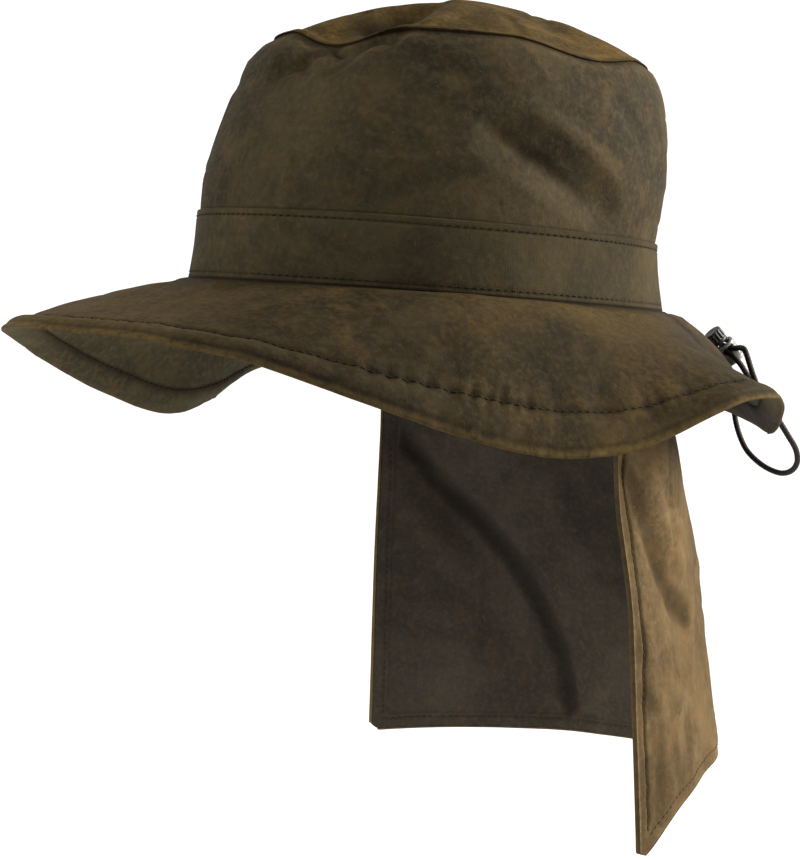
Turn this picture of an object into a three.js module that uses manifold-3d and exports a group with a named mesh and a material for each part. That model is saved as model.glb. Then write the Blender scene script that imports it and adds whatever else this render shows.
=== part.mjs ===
// Waxed canvas hat: a soft bucket crown with a flat band, a wide two-layer brim with a cord in its hem,
// a flap for the neck and a cord lock on the back of the brim. Millimetres.
// The origin is the middle of the head opening, on the seam between crown and brim. +Z is up, the front
// of the hat faces -Y, and the wearer's left is +X. Angles run from the front towards the wearer's left.
import * as THREE from 'three';
import { mergeVertices } from 'three/addons/utils/BufferGeometryUtils.js';
import Module from 'manifold-3d';

const wasm = await Module();
wasm.setup();

// Cloth thicknesses and the clearance between pieces
const CLOTH = 1.5;
const BAND_CLOTH = 1.2;
const BRIM_CLOTH = 1.2;
const FLAP_CLOTH = 1.8;
const GAP = 0.3;

// Crown: the head opening, the wall's height, the top panel's dome and the band
const HEAD_LENGTH = 200;
const HEAD_WIDTH = 168;
const CROWN_HEIGHT = 97;
const TIP_RISE = 20;
const TIP_MARGIN = 1.7;
const BAND_HEIGHT = 26;

// Brim: its width from the crown, the hem that holds the cord and the flat margin past the band
const BRIM_WIDTH = 74;
const HEM_WIDTH = 11.5;
const SEAT_MARGIN = 0.5;

// Neck flap: its length, the part tucked up inside the crown and its turn off the back centre
const FLAP_LENGTH = 197;
const FLAP_TUCK = 6;
const FLAP_TURN = 6;

// Drawcord and cord lock
const CORD_DIAMETER = 2.5;
const CORD_CLEARANCE = 0.3;
const LOCK_ANGLE = 160;
const LOCK_SHARE = 0.6;
const BARREL_WALL = 1.2;
const BARREL_FLOOR = 1.2;
const BUTTON_TRAVEL = 2.5;
const BUTTON_WEB = 1.2;
const BUTTON_WALL = 1;
const BUTTON_CAP = 4.4;
const BUTTON_RIBS = 14;
const RIB_DEPTH = 0.5;
const EYELET_ANGLES = [155.5, 164.5];

// Steps of the faceted surfaces
const STEPS_AROUND = 56;
const FLAP_STEPS = 24;
const ROUND_SIDES = 24;
const CORD_SIDES = 8;
const LOOP_STEPS = 80;

// Crown profile. height: share of CROWN_HEIGHT. front, back and side: shares of the foot's half sizes.
const CROWN_ROWS = [
  { height: 0.00, front: 1.000, back: 1.000, side: 1.000 },
  { height: 0.14, front: 0.985, back: 0.960, side: 0.985 },
  { height: 0.27, front: 0.978, back: 0.945, side: 0.980 },
  { height: 0.45, front: 0.965, back: 0.980, side: 0.990 },
  { height: 0.65, front: 0.912, back: 0.990, side: 0.985 },
  { height: 0.82, front: 0.845, back: 0.965, side: 0.950 },
  { height: 0.93, front: 0.780, back: 0.925, side: 0.900 },
  { height: 1.00, front: 0.700, back: 0.870, side: 0.835 },
];

// Dips of the seam between wall and top panel. angle and half: degrees. dip: share of CROWN_HEIGHT.
const RIM_DIPS = [
  { angle: 14, half: 22, dip: 0.070 },
  { angle: 92, half: 26, dip: 0.045 },
  { angle: -70, half: 30, dip: 0.030 },
];

// Dents pressed into the crown wall, each along a line between two places. Angles in degrees, heights
// as shares of CROWN_HEIGHT, half width and depth as shares of HEAD_WIDTH.
const WALL_DENTS = [
  { fromAngle: 67, fromHeight: 0.60, toAngle: 97, toHeight: 0.38, half: 0.075, depth: 0.022 },
  { fromAngle: 2, fromHeight: 0.86, toAngle: 34, toHeight: 0.95, half: 0.050, depth: 0.020 },
  { fromAngle: 205, fromHeight: 0.50, toAngle: 250, toHeight: 0.66, half: 0.085, depth: 0.018 },
];

// Dents in the top panel. right and back: shares of its half sizes. half: the same. depth: of TIP_RISE.
const TIP_DENTS = [
  { fromRight: 0.42, fromBack: -0.79, toRight: 0.14, toBack: -0.44, half: 0.20, depth: 0.42 },
  { fromRight: -0.45, fromBack: 0.20, toRight: -0.15, toBack: 0.50, half: 0.30, depth: 0.16 },
];

// Brim, the same on both sides. angle: degrees from the front. reach: share of BRIM_WIDTH outwards.
// drop: share of BRIM_WIDTH downwards. arch: sag below the straight line, as a share of the drop.
const BRIM_ROWS = [
  { angle: 0, reach: 0.93, drop: 0.28, arch: 0.00 },
  { angle: 28, reach: 0.94, drop: 0.33, arch: -0.10 },
  { angle: 42, reach: 0.83, drop: 0.48, arch: -0.18 },
  { angle: 56, reach: 0.70, drop: 0.65, arch: -0.25 },
  { angle: 70, reach: 0.65, drop: 0.74, arch: -0.25 },
  { angle: 84, reach: 0.71, drop: 0.67, arch: -0.18 },
  { angle: 100, reach: 0.84, drop: 0.48, arch: 0.00 },
  { angle: 128, reach: 0.70, drop: 0.50, arch: 0.00 },
  { angle: 150, reach: 0.69, drop: 0.60, arch: -0.20 },
  { angle: 180, reach: 0.74, drop: 0.50, arch: -0.22 },
];

// Ruffles that differ from side to side. angle and half: degrees. lift and pull: shares of BRIM_WIDTH.
const RUFFLES = [
  { angle: 104, half: 24, lift: 0.09, pull: 0.03 },
  { angle: 138, half: 20, lift: -0.03, pull: -0.02 },
  { angle: 64, half: 30, lift: 0.03, pull: 0.03 },
  { angle: -78, half: 24, lift: -0.05, pull: -0.09 },
];

// Neck flap from top to hem. down: share of FLAP_LENGTH. span: degrees either side of its middle.
// spread: share of the half sizes of the head opening. lean: backwards, as a share of FLAP_LENGTH.
const FLAP_ROWS = [
  { down: 0.00, span: 72, spread: 1.000, lean: 0.000 },
  { down: 0.03, span: 72, spread: 1.000, lean: 0.000 },
  { down: 0.12, span: 73, spread: 1.030, lean: 0.009 },
  { down: 0.32, span: 73, spread: 1.120, lean: 0.030 },
  { down: 0.58, span: 74, spread: 1.190, lean: 0.057 },
  { down: 1.00, span: 75, spread: 1.262, lean: 0.100 },
];

// Length of the flap across its hem. across: -1 to 1, the wearer's right to left edge.
const FLAP_HEM = [
  { across: -1.00, length: 1.045 },
  { across: -0.50, length: 1.020 },
  { across: 0.00, length: 0.990 },
  { across: 0.50, length: 0.945 },
  { across: 0.80, length: 0.990 },
  { across: 1.00, length: 1.085 },
];

// Soft folds of the flap along lines between two places. across as in FLAP_HEM, down: share of
// FLAP_LENGTH. half: share of FLAP_LENGTH. depth: share of FLAP_LENGTH, outwards.
const FLAP_FOLDS = [
  { fromAcross: -0.82, fromDown: 0.36, toAcross: -0.38, toDown: 0.86, half: 0.110, depth: 0.026 },
  { fromAcross: -0.46, fromDown: 0.30, toAcross: -0.10, toDown: 0.80, half: 0.120, depth: -0.016 },
  { fromAcross: 0.95, fromDown: 0.36, toAcross: 0.72, toDown: 0.66, half: 0.085, depth: -0.020 },
  { fromAcross: 0.30, fromDown: 0.55, toAcross: 0.42, toDown: 1.00, half: 0.120, depth: 0.020 },
];

// Route of the free cord: out of the first eyelet, through the lock, round in a loop that hangs over the
// back edge of the brim, back through the lock and into the second eyelet.
// eyelet: rise above the middle of the hem and inwards towards the crown, in cord diameters.
// brim: angle in degrees, share as for brimPoint, lift above the upper face in cord diameters.
// lock: side in barrel radii, level in strand pitches, crownwards from the slot in barrel radii.
// edge: angle in degrees, out and below from the outer edge as shares of BRIM_WIDTH.
const LOOP_ROUTE = [
  { from: 'eyelet', number: 0, rise: 0.00, inwards: 0.00 },
  { from: 'eyelet', number: 0, rise: 0.60, inwards: 0.00 },
  { from: 'eyelet', number: 0, rise: 1.68, inwards: 0.29 },
  { from: 'eyelet', number: 0, rise: 2.47, inwards: 1.08 },
  { from: 'eyelet', number: 0, rise: 2.76, inwards: 2.16 },
  { from: 'brim', angle: 155.4, share: 0.760, lift: 1.88 },
  { from: 'lock', side: 2.08, level: -0.62, crownwards: -1.12 },
  { from: 'lock', side: 1.93, level: -0.56, crownwards: -0.56 },
  { from: 'lock', side: 1.51, level: -0.50, crownwards: -0.15 },
  { from: 'lock', side: 0.95, level: -0.50, crownwards: 0.00 },
  { from: 'lock', side: 0.00, level: -0.50, crownwards: 0.00 },
  { from: 'lock', side: -0.95, level: -0.50, crownwards: 0.00 },
  { from: 'lock', side: -1.80, level: -0.52, crownwards: 0.00 },
  { from: 'lock', side: -2.60, level: -0.66, crownwards: -0.08 },
  { from: 'lock', side: -3.34, level: -0.94, crownwards: -0.50 },
  { from: 'lock', side: -3.78, level: -1.30, crownwards: -1.26 },
  { from: 'brim', angle: 168.8, share: 0.800, lift: 1.05 },
  { from: 'brim', angle: 169.0, share: 0.880, lift: 0.82 },
  { from: 'brim', angle: 169.1, share: 0.955, lift: 0.90 },
  { from: 'edge', angle: 169.0, out: 0.061, below: 0.018 },
  { from: 'edge', angle: 168.6, out: 0.073, below: 0.083 },
  { from: 'edge', angle: 167.3, out: 0.078, below: 0.153 },
  { from: 'edge', angle: 165.1, out: 0.082, below: 0.215 },
  { from: 'edge', angle: 161.9, out: 0.097, below: 0.256 },
  { from: 'edge', angle: 158.1, out: 0.119, below: 0.275 },
  { from: 'edge', angle: 154.3, out: 0.151, below: 0.269 },
  { from: 'edge', angle: 150.9, out: 0.175, below: 0.227 },
  { from: 'edge', angle: 147.9, out: 0.176, below: 0.161 },
  { from: 'edge', angle: 145.7, out: 0.146, below: 0.089 },
  { from: 'edge', angle: 144.1, out: 0.090, below: 0.019 },
  { from: 'brim', angle: 143.2, share: 0.970, lift: 0.95 },
  { from: 'brim', angle: 143.2, share: 0.890, lift: 0.82 },
  { from: 'brim', angle: 144.4, share: 0.810, lift: 1.10 },
  { from: 'brim', angle: 146.8, share: 0.720, lift: 1.90 },
  { from: 'lock', side: 4.50, level: 0.14, crownwards: 0.30 },
  { from: 'lock', side: 3.40, level: 0.46, crownwards: 0.30 },
  { from: 'lock', side: 2.30, level: 0.52, crownwards: 0.12 },
  { from: 'lock', side: 1.50, level: 0.50, crownwards: 0.00 },
  { from: 'lock', side: 0.95, level: 0.50, crownwards: 0.00 },
  { from: 'lock', side: 0.00, level: 0.50, crownwards: 0.00 },
  { from: 'lock', side: -0.95, level: 0.50, crownwards: 0.00 },
  { from: 'lock', side: -1.51, level: 0.49, crownwards: -0.15 },
  { from: 'lock', side: -1.93, level: 0.38, crownwards: -0.56 },
  { from: 'lock', side: -2.07, level: 0.14, crownwards: -1.12 },
  { from: 'brim', angle: 164.5, share: 0.760, lift: 1.94 },
  { from: 'eyelet', number: 1, rise: 2.76, inwards: 2.16 },
  { from: 'eyelet', number: 1, rise: 2.47, inwards: 1.08 },
  { from: 'eyelet', number: 1, rise: 1.68, inwards: 0.29 },
  { from: 'eyelet', number: 1, rise: 0.60, inwards: 0.00 },
  { from: 'eyelet', number: 1, rise: 0.00, inwards: 0.00 },
];

// Sizes that follow from the ones above
const HALF_LENGTH = HEAD_LENGTH / 2;
const HALF_WIDTH = HEAD_WIDTH / 2;
const FOOT_HALF_LENGTH = HALF_LENGTH + CLOTH;
const FOOT_HALF_WIDTH = HALF_WIDTH + CLOTH;
const BAND_SHARE = BAND_HEIGHT / CROWN_HEIGHT;
const TIP_SEAT = CLOTH + TIP_MARGIN;
const SEAT_WIDTH = CLOTH + GAP + BAND_CLOTH + SEAT_MARGIN;
const HEM_START = 1 - HEM_WIDTH / BRIM_WIDTH;
const HEM_MIDDLE = (HEM_START + 1) / 2;
const HEM_OPENING = CORD_DIAMETER / 2 + CORD_CLEARANCE;
const BRIM_LEVEL = -GAP - BRIM_CLOTH - GAP / 2;
const STRAND_PITCH = CORD_DIAMETER + CORD_CLEARANCE;
const SLOT_WIDTH = CORD_DIAMETER + 2 * CORD_CLEARANCE;
const SLOT_HEIGHT = STRAND_PITCH + SLOT_WIDTH;
const STEM_RADIUS = SLOT_HEIGHT / 2 + BUTTON_WALL;
const BORE_RADIUS = STEM_RADIUS + GAP;
const BARREL_RADIUS = BORE_RADIUS + BARREL_WALL;
const STEM_START = BARREL_FLOOR + GAP + BUTTON_TRAVEL;
const SLOT_START = STEM_START + BUTTON_WEB;
const BARREL_LENGTH = SLOT_START + SLOT_WIDTH + BARREL_FLOOR;
const CAP_START = BARREL_LENGTH + BUTTON_TRAVEL + GAP;
const LOCK_LENGTH = CAP_START + BUTTON_CAP;

// Smooth value through the rows of a table, by cubics that pass through every row
function cubicThrough(places, values, place) {
  let i = 1;
  while (i < places.length - 3 && place >= places[i + 1]) i += 1;
  const span = places[i + 1] - places[i];
  const part = (place - places[i]) / span;
  const startSlope = span * (values[i + 1] - values[i - 1]) / (places[i + 1] - places[i - 1]);
  const endSlope = span * (values[i + 2] - values[i]) / (places[i + 2] - places[i]);
  const square = part * part;
  const cube = square * part;
  return (2 * cube - 3 * square + 1) * values[i] + (cube - 2 * square + part) * startSlope
    + (3 * square - 2 * cube) * values[i + 1] + (cube - square) * endSlope;
}

// Column of a table from its first to its last row
function along(rows, placeName, column, place) {
  const places = rows.map((row) => row[placeName]);
  const values = rows.map((row) => row[column]);
  const last = rows.length - 1;
  places.unshift(2 * places[0] - places[1]);
  values.unshift(2 * values[0] - values[1]);
  places.push(2 * places[last + 1] - places[last]);
  values.push(2 * values[last + 1] - values[last]);
  return cubicThrough(places, values, place);
}

// Column of a half table from the front, 0, to the back, 180, mirrored to the other side
function around(rows, column, degrees) {
  const turned = Math.abs(fromAngle(degrees, 0));
  const places = rows.map((row) => row.angle);
  const values = rows.map((row) => row[column]);
  const last = rows.length - 1;
  places.unshift(-places[1]);
  values.unshift(values[1]);
  places.push(360 - places[last]);
  values.push(values[last]);
  return cubicThrough(places, values, turned);
}

// Signed difference of two angles, from -180 to 180 degrees
function fromAngle(degrees, centre) {
  return THREE.MathUtils.euclideanModulo(degrees - centre + 180, 360) - 180;
}

// Smooth hump: 1 at the middle, 0 from 1 outwards
function hump(distance) {
  const inside = Math.max(0, 1 - distance * distance);
  return inside * inside;
}

// Hump around the line from start to end, all three in the same lengths
function lineHump(place, start, end, half) {
  const line = end.clone().sub(start);
  const offset = place.clone().sub(start);
  const share = THREE.MathUtils.clamp(offset.dot(line) / line.lengthSq(), 0, 1);
  return hump(offset.addScaledVector(line, -share).length() / half);
}

// Outward direction of the head opening's oval, seen from above
function outward(degrees) {
  const turn = THREE.MathUtils.degToRad(degrees);
  return new THREE.Vector3(Math.sin(turn) / HALF_WIDTH, -Math.cos(turn) / HALF_LENGTH, 0).normalize();
}

function rimDip(degrees) {
  return RIM_DIPS.reduce(
    (sum, dip) => sum + dip.dip * CROWN_HEIGHT * hump(fromAngle(degrees, dip.angle) / dip.half), 0);
}

function wallDent(degrees, height) {
  const arc = HALF_WIDTH * THREE.MathUtils.degToRad(1);
  return WALL_DENTS.reduce((sum, dent) => {
    const turned = dent.fromAngle + fromAngle(degrees, dent.fromAngle);
    const place = new THREE.Vector2(turned * arc, height * CROWN_HEIGHT);
    const start = new THREE.Vector2(dent.fromAngle * arc, dent.fromHeight * CROWN_HEIGHT);
    const end = new THREE.Vector2(dent.toAngle * arc, dent.toHeight * CROWN_HEIGHT);
    return sum + dent.depth * HEAD_WIDTH * lineHump(place, start, end, dent.half * HEAD_WIDTH);
  }, 0);
}

// Half sizes of the crown's outside and its middle, at a share of its height
function crownSection(height) {
  const front = along(CROWN_ROWS, 'height', 'front', height) * FOOT_HALF_LENGTH;
  const back = along(CROWN_ROWS, 'height', 'back', height) * FOOT_HALF_LENGTH;
  const side = along(CROWN_ROWS, 'height', 'side', height) * FOOT_HALF_WIDTH;
  return { length: (front + back) / 2, side, middle: (back - front) / 2 };
}

// Point of the crown wall, a distance out from its outside
function crownPoint(degrees, height, out) {
  const turn = THREE.MathUtils.degToRad(degrees);
  const section = crownSection(height);
  const push = out - wallDent(degrees, height);
  return new THREE.Vector3(
    (section.side + push) * Math.sin(turn),
    section.middle - (section.length + push) * Math.cos(turn),
    CROWN_HEIGHT * height - rimDip(degrees) * height ** 4);
}

// Point of the top panel, a share of the way from its middle to its rim
function tipPoint(degrees, share, above) {
  const turn = THREE.MathUtils.degToRad(degrees);
  const section = crownSection(1);
  const seat = 1 - TIP_SEAT / Math.min(section.side, section.length);
  const dome = 1 - Math.min(1, share / seat) ** 2;
  const place = new THREE.Vector2(share * Math.sin(turn), -share * Math.cos(turn));
  const dent = TIP_DENTS.reduce((sum, row) => {
    const start = new THREE.Vector2(row.fromRight, row.fromBack);
    const end = new THREE.Vector2(row.toRight, row.toBack);
    return sum + row.depth * lineHump(place, start, end, row.half);
  }, 0);
  const rise = dome - dent * Math.min(1, 3 * dome);
  return new THREE.Vector3(
    section.side * place.x,
    section.middle + section.length * place.y,
    CROWN_HEIGHT + GAP + above - rimDip(degrees) * (1 - dome) + TIP_RISE * rise);
}

// Point midway between the brim's two layers. share: -1 at the inner edge, 0 where the flat seat under
// the crown ends, 1 at the outer edge.
function brimPoint(degrees, share) {
  const turn = THREE.MathUtils.degToRad(degrees);
  let reach = around(BRIM_ROWS, 'reach', degrees);
  let drop = around(BRIM_ROWS, 'drop', degrees);
  const arch = around(BRIM_ROWS, 'arch', degrees);
  RUFFLES.forEach((ruffle) => {
    const strength = hump(fromAngle(degrees, ruffle.angle) / ruffle.half);
    reach += ruffle.pull * strength;
    drop -= ruffle.lift * strength;
  });
  const free = Math.max(0, share);
  const distance = SEAT_WIDTH * (1 + Math.min(0, share)) + reach * BRIM_WIDTH * free;
  const fall = drop * BRIM_WIDTH * (free + 4 * arch * free * (1 - free));
  return new THREE.Vector3(HALF_WIDTH * Math.sin(turn), -HALF_LENGTH * Math.cos(turn), BRIM_LEVEL - fall)
    .addScaledVector(outward(degrees), distance);
}

// Directions on the brim: outwards down its slope, around it and square to its upper face
function brimFrame(degrees, share) {
  const turnStep = 1;
  const shareStep = 0.02;
  const slope = brimPoint(degrees, Math.min(1, share + shareStep))
    .sub(brimPoint(degrees, Math.max(-1, share - shareStep))).normalize();
  const sweep = brimPoint(degrees + turnStep, share).sub(brimPoint(degrees - turnStep, share)).normalize();
  const normal = slope.clone().cross(sweep).normalize();
  return { slope, sweep, normal };
}

// Half of the space between the two layers, which opens in the hem for the cord
function layerOpening(share) {
  const inHem = Math.max(0, 1 - Math.abs(share - HEM_MIDDLE) / (1 - HEM_MIDDLE));
  return GAP / 2 + (HEM_OPENING - GAP / 2) * inHem;
}

function brimFace(degrees, share, above) {
  return brimPoint(degrees, share).addScaledVector(brimFrame(degrees, share).normal, above);
}

// Point of the neck flap, a distance in from its outside. down is negative in the tucked part.
function flapPoint(across, down, inwards) {
  const free = Math.max(0, down);
  const degrees = 180 - FLAP_TURN - across * along(FLAP_ROWS, 'down', 'span', free);
  if (down < 0) return crownPoint(degrees, -down * FLAP_TUCK / CROWN_HEIGHT, -CLOTH - GAP - inwards);
  const turn = THREE.MathUtils.degToRad(degrees);
  const spread = along(FLAP_ROWS, 'down', 'spread', free);
  const lean = along(FLAP_ROWS, 'down', 'lean', free) * FLAP_LENGTH;
  const place = new THREE.Vector2(across, free);
  const fold = FLAP_FOLDS.reduce((sum, row) => {
    const start = new THREE.Vector2(row.fromAcross, row.fromDown);
    const end = new THREE.Vector2(row.toAcross, row.toDown);
    return sum + row.depth * FLAP_LENGTH * lineHump(place, start, end, row.half * 2);
  }, 0);
  return new THREE.Vector3(
    ((HALF_WIDTH - GAP) * spread + fold - inwards) * Math.sin(turn),
    -((HALF_LENGTH - GAP) * spread + fold - inwards) * Math.cos(turn) + lean,
    -free * FLAP_LENGTH * along(FLAP_HEM, 'across', 'length', across));
}

// Closed body through a run of sections, each a ring of as many points. Without wrapping, each end is
// closed by a strip between the ring's first and second half.
function loft(sections, wraps) {
  const corners = [];
  const addTriangle = (a, b, c) => {
    if (a.distanceTo(b) > 1e-6 && b.distanceTo(c) > 1e-6 && c.distanceTo(a) > 1e-6) corners.push(a, b, c);
  };
  const addQuad = (a, b, c, d) => {
    addTriangle(a, b, c);
    addTriangle(a, c, d);
  };
  const size = sections[0].length;
  const bays = wraps ? sections.length : sections.length - 1;
  for (let i = 0; i < bays; i += 1) {
    const here = sections[i];
    const next = sections[(i + 1) % sections.length];
    for (let j = 0; j < size; j += 1) addQuad(here[j], next[j], next[(j + 1) % size], here[(j + 1) % size]);
  }
  const first = sections[0];
  const last = sections[sections.length - 1];
  for (let j = 0; !wraps && j < size / 2 - 1; j += 1) {
    addQuad(first[j], first[j + 1], first[size - 2 - j], first[size - 1 - j]);
    addQuad(last[j + 1], last[j], last[size - 1 - j], last[size - 2 - j]);
  }
  const volume = corners.reduce(
    (sum, corner, i) => (i % 3 ? sum : sum + corner.dot(corners[i + 1].clone().cross(corners[i + 2]))), 0);
  for (let i = 0; volume < 0 && i < corners.length; i += 3) {
    [corners[i + 1], corners[i + 2]] = [corners[i + 2], corners[i + 1]];
  }
  return new THREE.BufferGeometry().setFromPoints(corners);
}

// Closed cloth wall: the outer points of a section, then the inner ones back
function wallSection(levels, outer, inner) {
  return [...levels.map(outer), ...[...levels].reverse().map(inner)];
}

function anglesAround() {
  return Array.from({ length: STEPS_AROUND }, (_, i) => i * 360 / STEPS_AROUND);
}

// Solid for cutting and joining, and back
function toSolid(geometry) {
  const bare = geometry.clone();
  bare.deleteAttribute('normal');
  bare.deleteAttribute('uv');
  const merged = mergeVertices(bare, 1e-4);
  return new wasm.Manifold(new wasm.Mesh({
    numProp: 3,
    vertProperties: new Float32Array(merged.attributes.position.array),
    triVerts: new Uint32Array(merged.index.array),
  }));
}

function fromSolid(solid) {
  const mesh = solid.getMesh();
  const geometry = new THREE.BufferGeometry();
  geometry.setAttribute('position', new THREE.BufferAttribute(mesh.vertProperties, 3));
  geometry.setIndex(new THREE.BufferAttribute(mesh.triVerts, 1));
  return geometry;
}

// Round bar along Z
function bar(radius, start, end) {
  return new THREE.CylinderGeometry(radius, radius, end - start, ROUND_SIDES)
    .rotateX(Math.PI / 2).translate(0, 0, (start + end) / 2);
}

function makeCrownTip() {
  const section = crownSection(1);
  const seat = 1 - TIP_SEAT / Math.min(section.side, section.length);
  const levels = [0, 0.3, 0.55, 0.75, 0.9].map((share) => share * seat).concat([seat, 1]);
  return loft(anglesAround().map((degrees) => wallSection(
    levels,
    (share) => tipPoint(degrees, share, CLOTH),
    (share) => tipPoint(degrees, share, 0))), true);
}

function makeCrownWall() {
  const above = [1 / 6, 2 / 6, 3 / 6, 4 / 6, 5 / 6, 1].map((share) => BAND_SHARE + share * (1 - BAND_SHARE));
  const levels = [0, BAND_SHARE / 2, BAND_SHARE, ...above];
  return loft(anglesAround().map((degrees) => wallSection(
    levels,
    (height) => crownPoint(degrees, height, 0),
    (height) => crownPoint(degrees, height, -CLOTH))), true);
}

function makeHatBand() {
  return loft(anglesAround().map((degrees) => wallSection(
    [0, BAND_SHARE / 2, BAND_SHARE],
    (height) => crownPoint(degrees, height, GAP + BAND_CLOTH),
    (height) => crownPoint(degrees, height, GAP))), true);
}

// One layer of the brim, above or below the middle by the side's sign
function makeBrimLayer(side) {
  const levels = [-1, 0, 0.3 * HEM_START, 0.58 * HEM_START, 0.82 * HEM_START, HEM_START, HEM_MIDDLE, 1];
  return loft(anglesAround().map((degrees) => wallSection(
    levels,
    (share) => brimFace(degrees, share, side * (layerOpening(share) + BRIM_CLOTH)),
    (share) => brimFace(degrees, share, side * layerOpening(share)))), true);
}

// Eyelet hole through the upper layer of the hem
function eyeletCutter(degrees) {
  const frame = brimFrame(degrees, HEM_MIDDLE);
  const cutter = bar(CORD_DIAMETER / 2 + CORD_CLEARANCE, 0, 2 * (HEM_OPENING + BRIM_CLOTH));
  cutter.applyQuaternion(new THREE.Quaternion().setFromUnitVectors(new THREE.Vector3(0, 0, 1), frame.normal));
  const centre = brimPoint(degrees, HEM_MIDDLE);
  return cutter.translate(centre.x, centre.y, centre.z);
}

function makeBrimTop() {
  return fromSolid(EYELET_ANGLES.reduce(
    (solid, degrees) => solid.subtract(toSolid(eyeletCutter(degrees))), toSolid(makeBrimLayer(1))));
}

function makeNeckFlap() {
  const levels = [-1, 0, 0.03, 0.12, 0.24, 0.38, 0.53, 0.68, 0.84, 1];
  const sections = Array.from({ length: FLAP_STEPS + 1 }, (_, i) => {
    const across = 2 * i / FLAP_STEPS - 1;
    return wallSection(
      levels,
      (down) => flapPoint(across, down, 0),
      (down) => flapPoint(across, down, FLAP_CLOTH));
  });
  return loft(sections, false);
}

// Cord held in the hem, from one eyelet right round to the other
function makeDrawcordRun() {
  const clear = CORD_DIAMETER + 2 * CORD_CLEARANCE;
  const pace = brimPoint(LOCK_ANGLE, HEM_MIDDLE).distanceTo(brimPoint(LOCK_ANGLE + 1, HEM_MIDDLE));
  const start = EYELET_ANGLES[1] + clear / pace;
  const end = EYELET_ANGLES[0] + 360 - clear / pace;
  const step = 360 / STEPS_AROUND;
  const between = anglesAround().concat(anglesAround().map((degrees) => degrees + 360))
    .filter((degrees) => degrees > start + step / 4 && degrees < end - step / 4);
  return loft([start, ...between, end].map((degrees) => {
    const centre = brimPoint(degrees, HEM_MIDDLE);
    const frame = brimFrame(degrees, HEM_MIDDLE);
    return Array.from({ length: CORD_SIDES }, (_, i) => {
      const turn = (i + 0.5) * 2 * Math.PI / CORD_SIDES;
      return centre.clone()
        .addScaledVector(frame.slope, Math.cos(turn) * CORD_DIAMETER / 2)
        .addScaledVector(frame.normal, Math.sin(turn) * CORD_DIAMETER / 2);
    });
  }), false);
}

// Point of the free cord's route, from its row
function routePoint(row, lock) {
  if (row.from === 'eyelet') {
    const frame = brimFrame(EYELET_ANGLES[row.number], HEM_MIDDLE);
    return brimPoint(EYELET_ANGLES[row.number], HEM_MIDDLE)
      .addScaledVector(frame.normal, row.rise * CORD_DIAMETER)
      .addScaledVector(frame.slope, -row.inwards * CORD_DIAMETER);
  }
  if (row.from === 'brim') {
    const above = layerOpening(row.share) + BRIM_CLOTH + row.lift * CORD_DIAMETER;
    return brimFace(row.angle, row.share, above);
  }
  if (row.from === 'lock') {
    const along = SLOT_START + SLOT_WIDTH / 2 + row.crownwards * BARREL_RADIUS;
    return new THREE.Vector3(row.side * BARREL_RADIUS, row.level * STRAND_PITCH, along)
      .applyQuaternion(lock.quaternion).add(lock.position);
  }
  const hanging = brimPoint(row.angle, 1).addScaledVector(outward(row.angle), row.out * BRIM_WIDTH);
  return hanging.setZ(hanging.z - row.below * BRIM_WIDTH);
}

function makeDrawcordLoop(lock) {
  const outline = Array.from({ length: CORD_SIDES }, (_, i) => {
    const turn = (i + 0.5) * 2 * Math.PI / CORD_SIDES;
    return new THREE.Vector2(Math.cos(turn), Math.sin(turn)).multiplyScalar(CORD_DIAMETER / 2);
  });
  const route = LOOP_ROUTE.map((row) => routePoint(row, lock));
  return new THREE.ExtrudeGeometry(new THREE.Shape(outline), {
    steps: LOOP_STEPS,
    bevelEnabled: false,
    extrudePath: new THREE.CatmullRomCurve3(route, false, 'centripetal'),
  });
}

// Slot across the lock for the two strands of the cord, one above the other
function strandSlot(start, end, width) {
  return new THREE.BoxGeometry(width, SLOT_HEIGHT, end - start).translate(0, 0, (start + end) / 2);
}

function makeLockBody() {
  return fromSolid(toSolid(bar(BARREL_RADIUS, 0, BARREL_LENGTH))
    .subtract(toSolid(bar(BORE_RADIUS, BARREL_FLOOR, BARREL_LENGTH + 1)))
    .subtract(toSolid(strandSlot(SLOT_START, SLOT_START + SLOT_WIDTH, 4 * BARREL_RADIUS))));
}

// Button: a ribbed cap on a stem whose slot stays clear of the cord over the whole travel
function makeLockButton() {
  const outline = Array.from({ length: 4 * BUTTON_RIBS }, (_, i) => {
    const turn = (i + 0.5) * 2 * Math.PI / (4 * BUTTON_RIBS);
    const radius = BORE_RADIUS - (i % 4 < 2 ? 0 : RIB_DEPTH);
    return new THREE.Vector2(Math.cos(turn) * radius, Math.sin(turn) * radius);
  });
  const cap = new THREE.ExtrudeGeometry(new THREE.Shape(outline), { depth: BUTTON_CAP, bevelEnabled: false })
    .translate(0, 0, CAP_START);
  const slotEnd = SLOT_START + SLOT_WIDTH + BUTTON_TRAVEL;
  return fromSolid(toSolid(bar(STEM_RADIUS, STEM_START, CAP_START + BUTTON_CAP / 2))
    .add(toSolid(cap))
    .subtract(toSolid(strandSlot(SLOT_START, slotEnd, 4 * STEM_RADIUS))));
}

// Frame of the cord lock: it lies along the slope of the brim with its button towards the crown
function makeLockGroup() {
  const frame = brimFrame(LOCK_ANGLE, LOCK_SHARE);
  const towardsCrown = frame.slope.clone().negate();
  const sideways = frame.normal.clone().cross(towardsCrown);
  const lock = new THREE.Group();
  lock.quaternion.setFromRotationMatrix(new THREE.Matrix4().makeBasis(sideways, frame.normal, towardsCrown));
  const rise = layerOpening(LOCK_SHARE) + BRIM_CLOTH + GAP + BARREL_RADIUS;
  lock.position.copy(brimFace(LOCK_ANGLE, LOCK_SHARE, rise)).addScaledVector(towardsCrown, -LOCK_LENGTH / 2);
  return lock;
}

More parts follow.
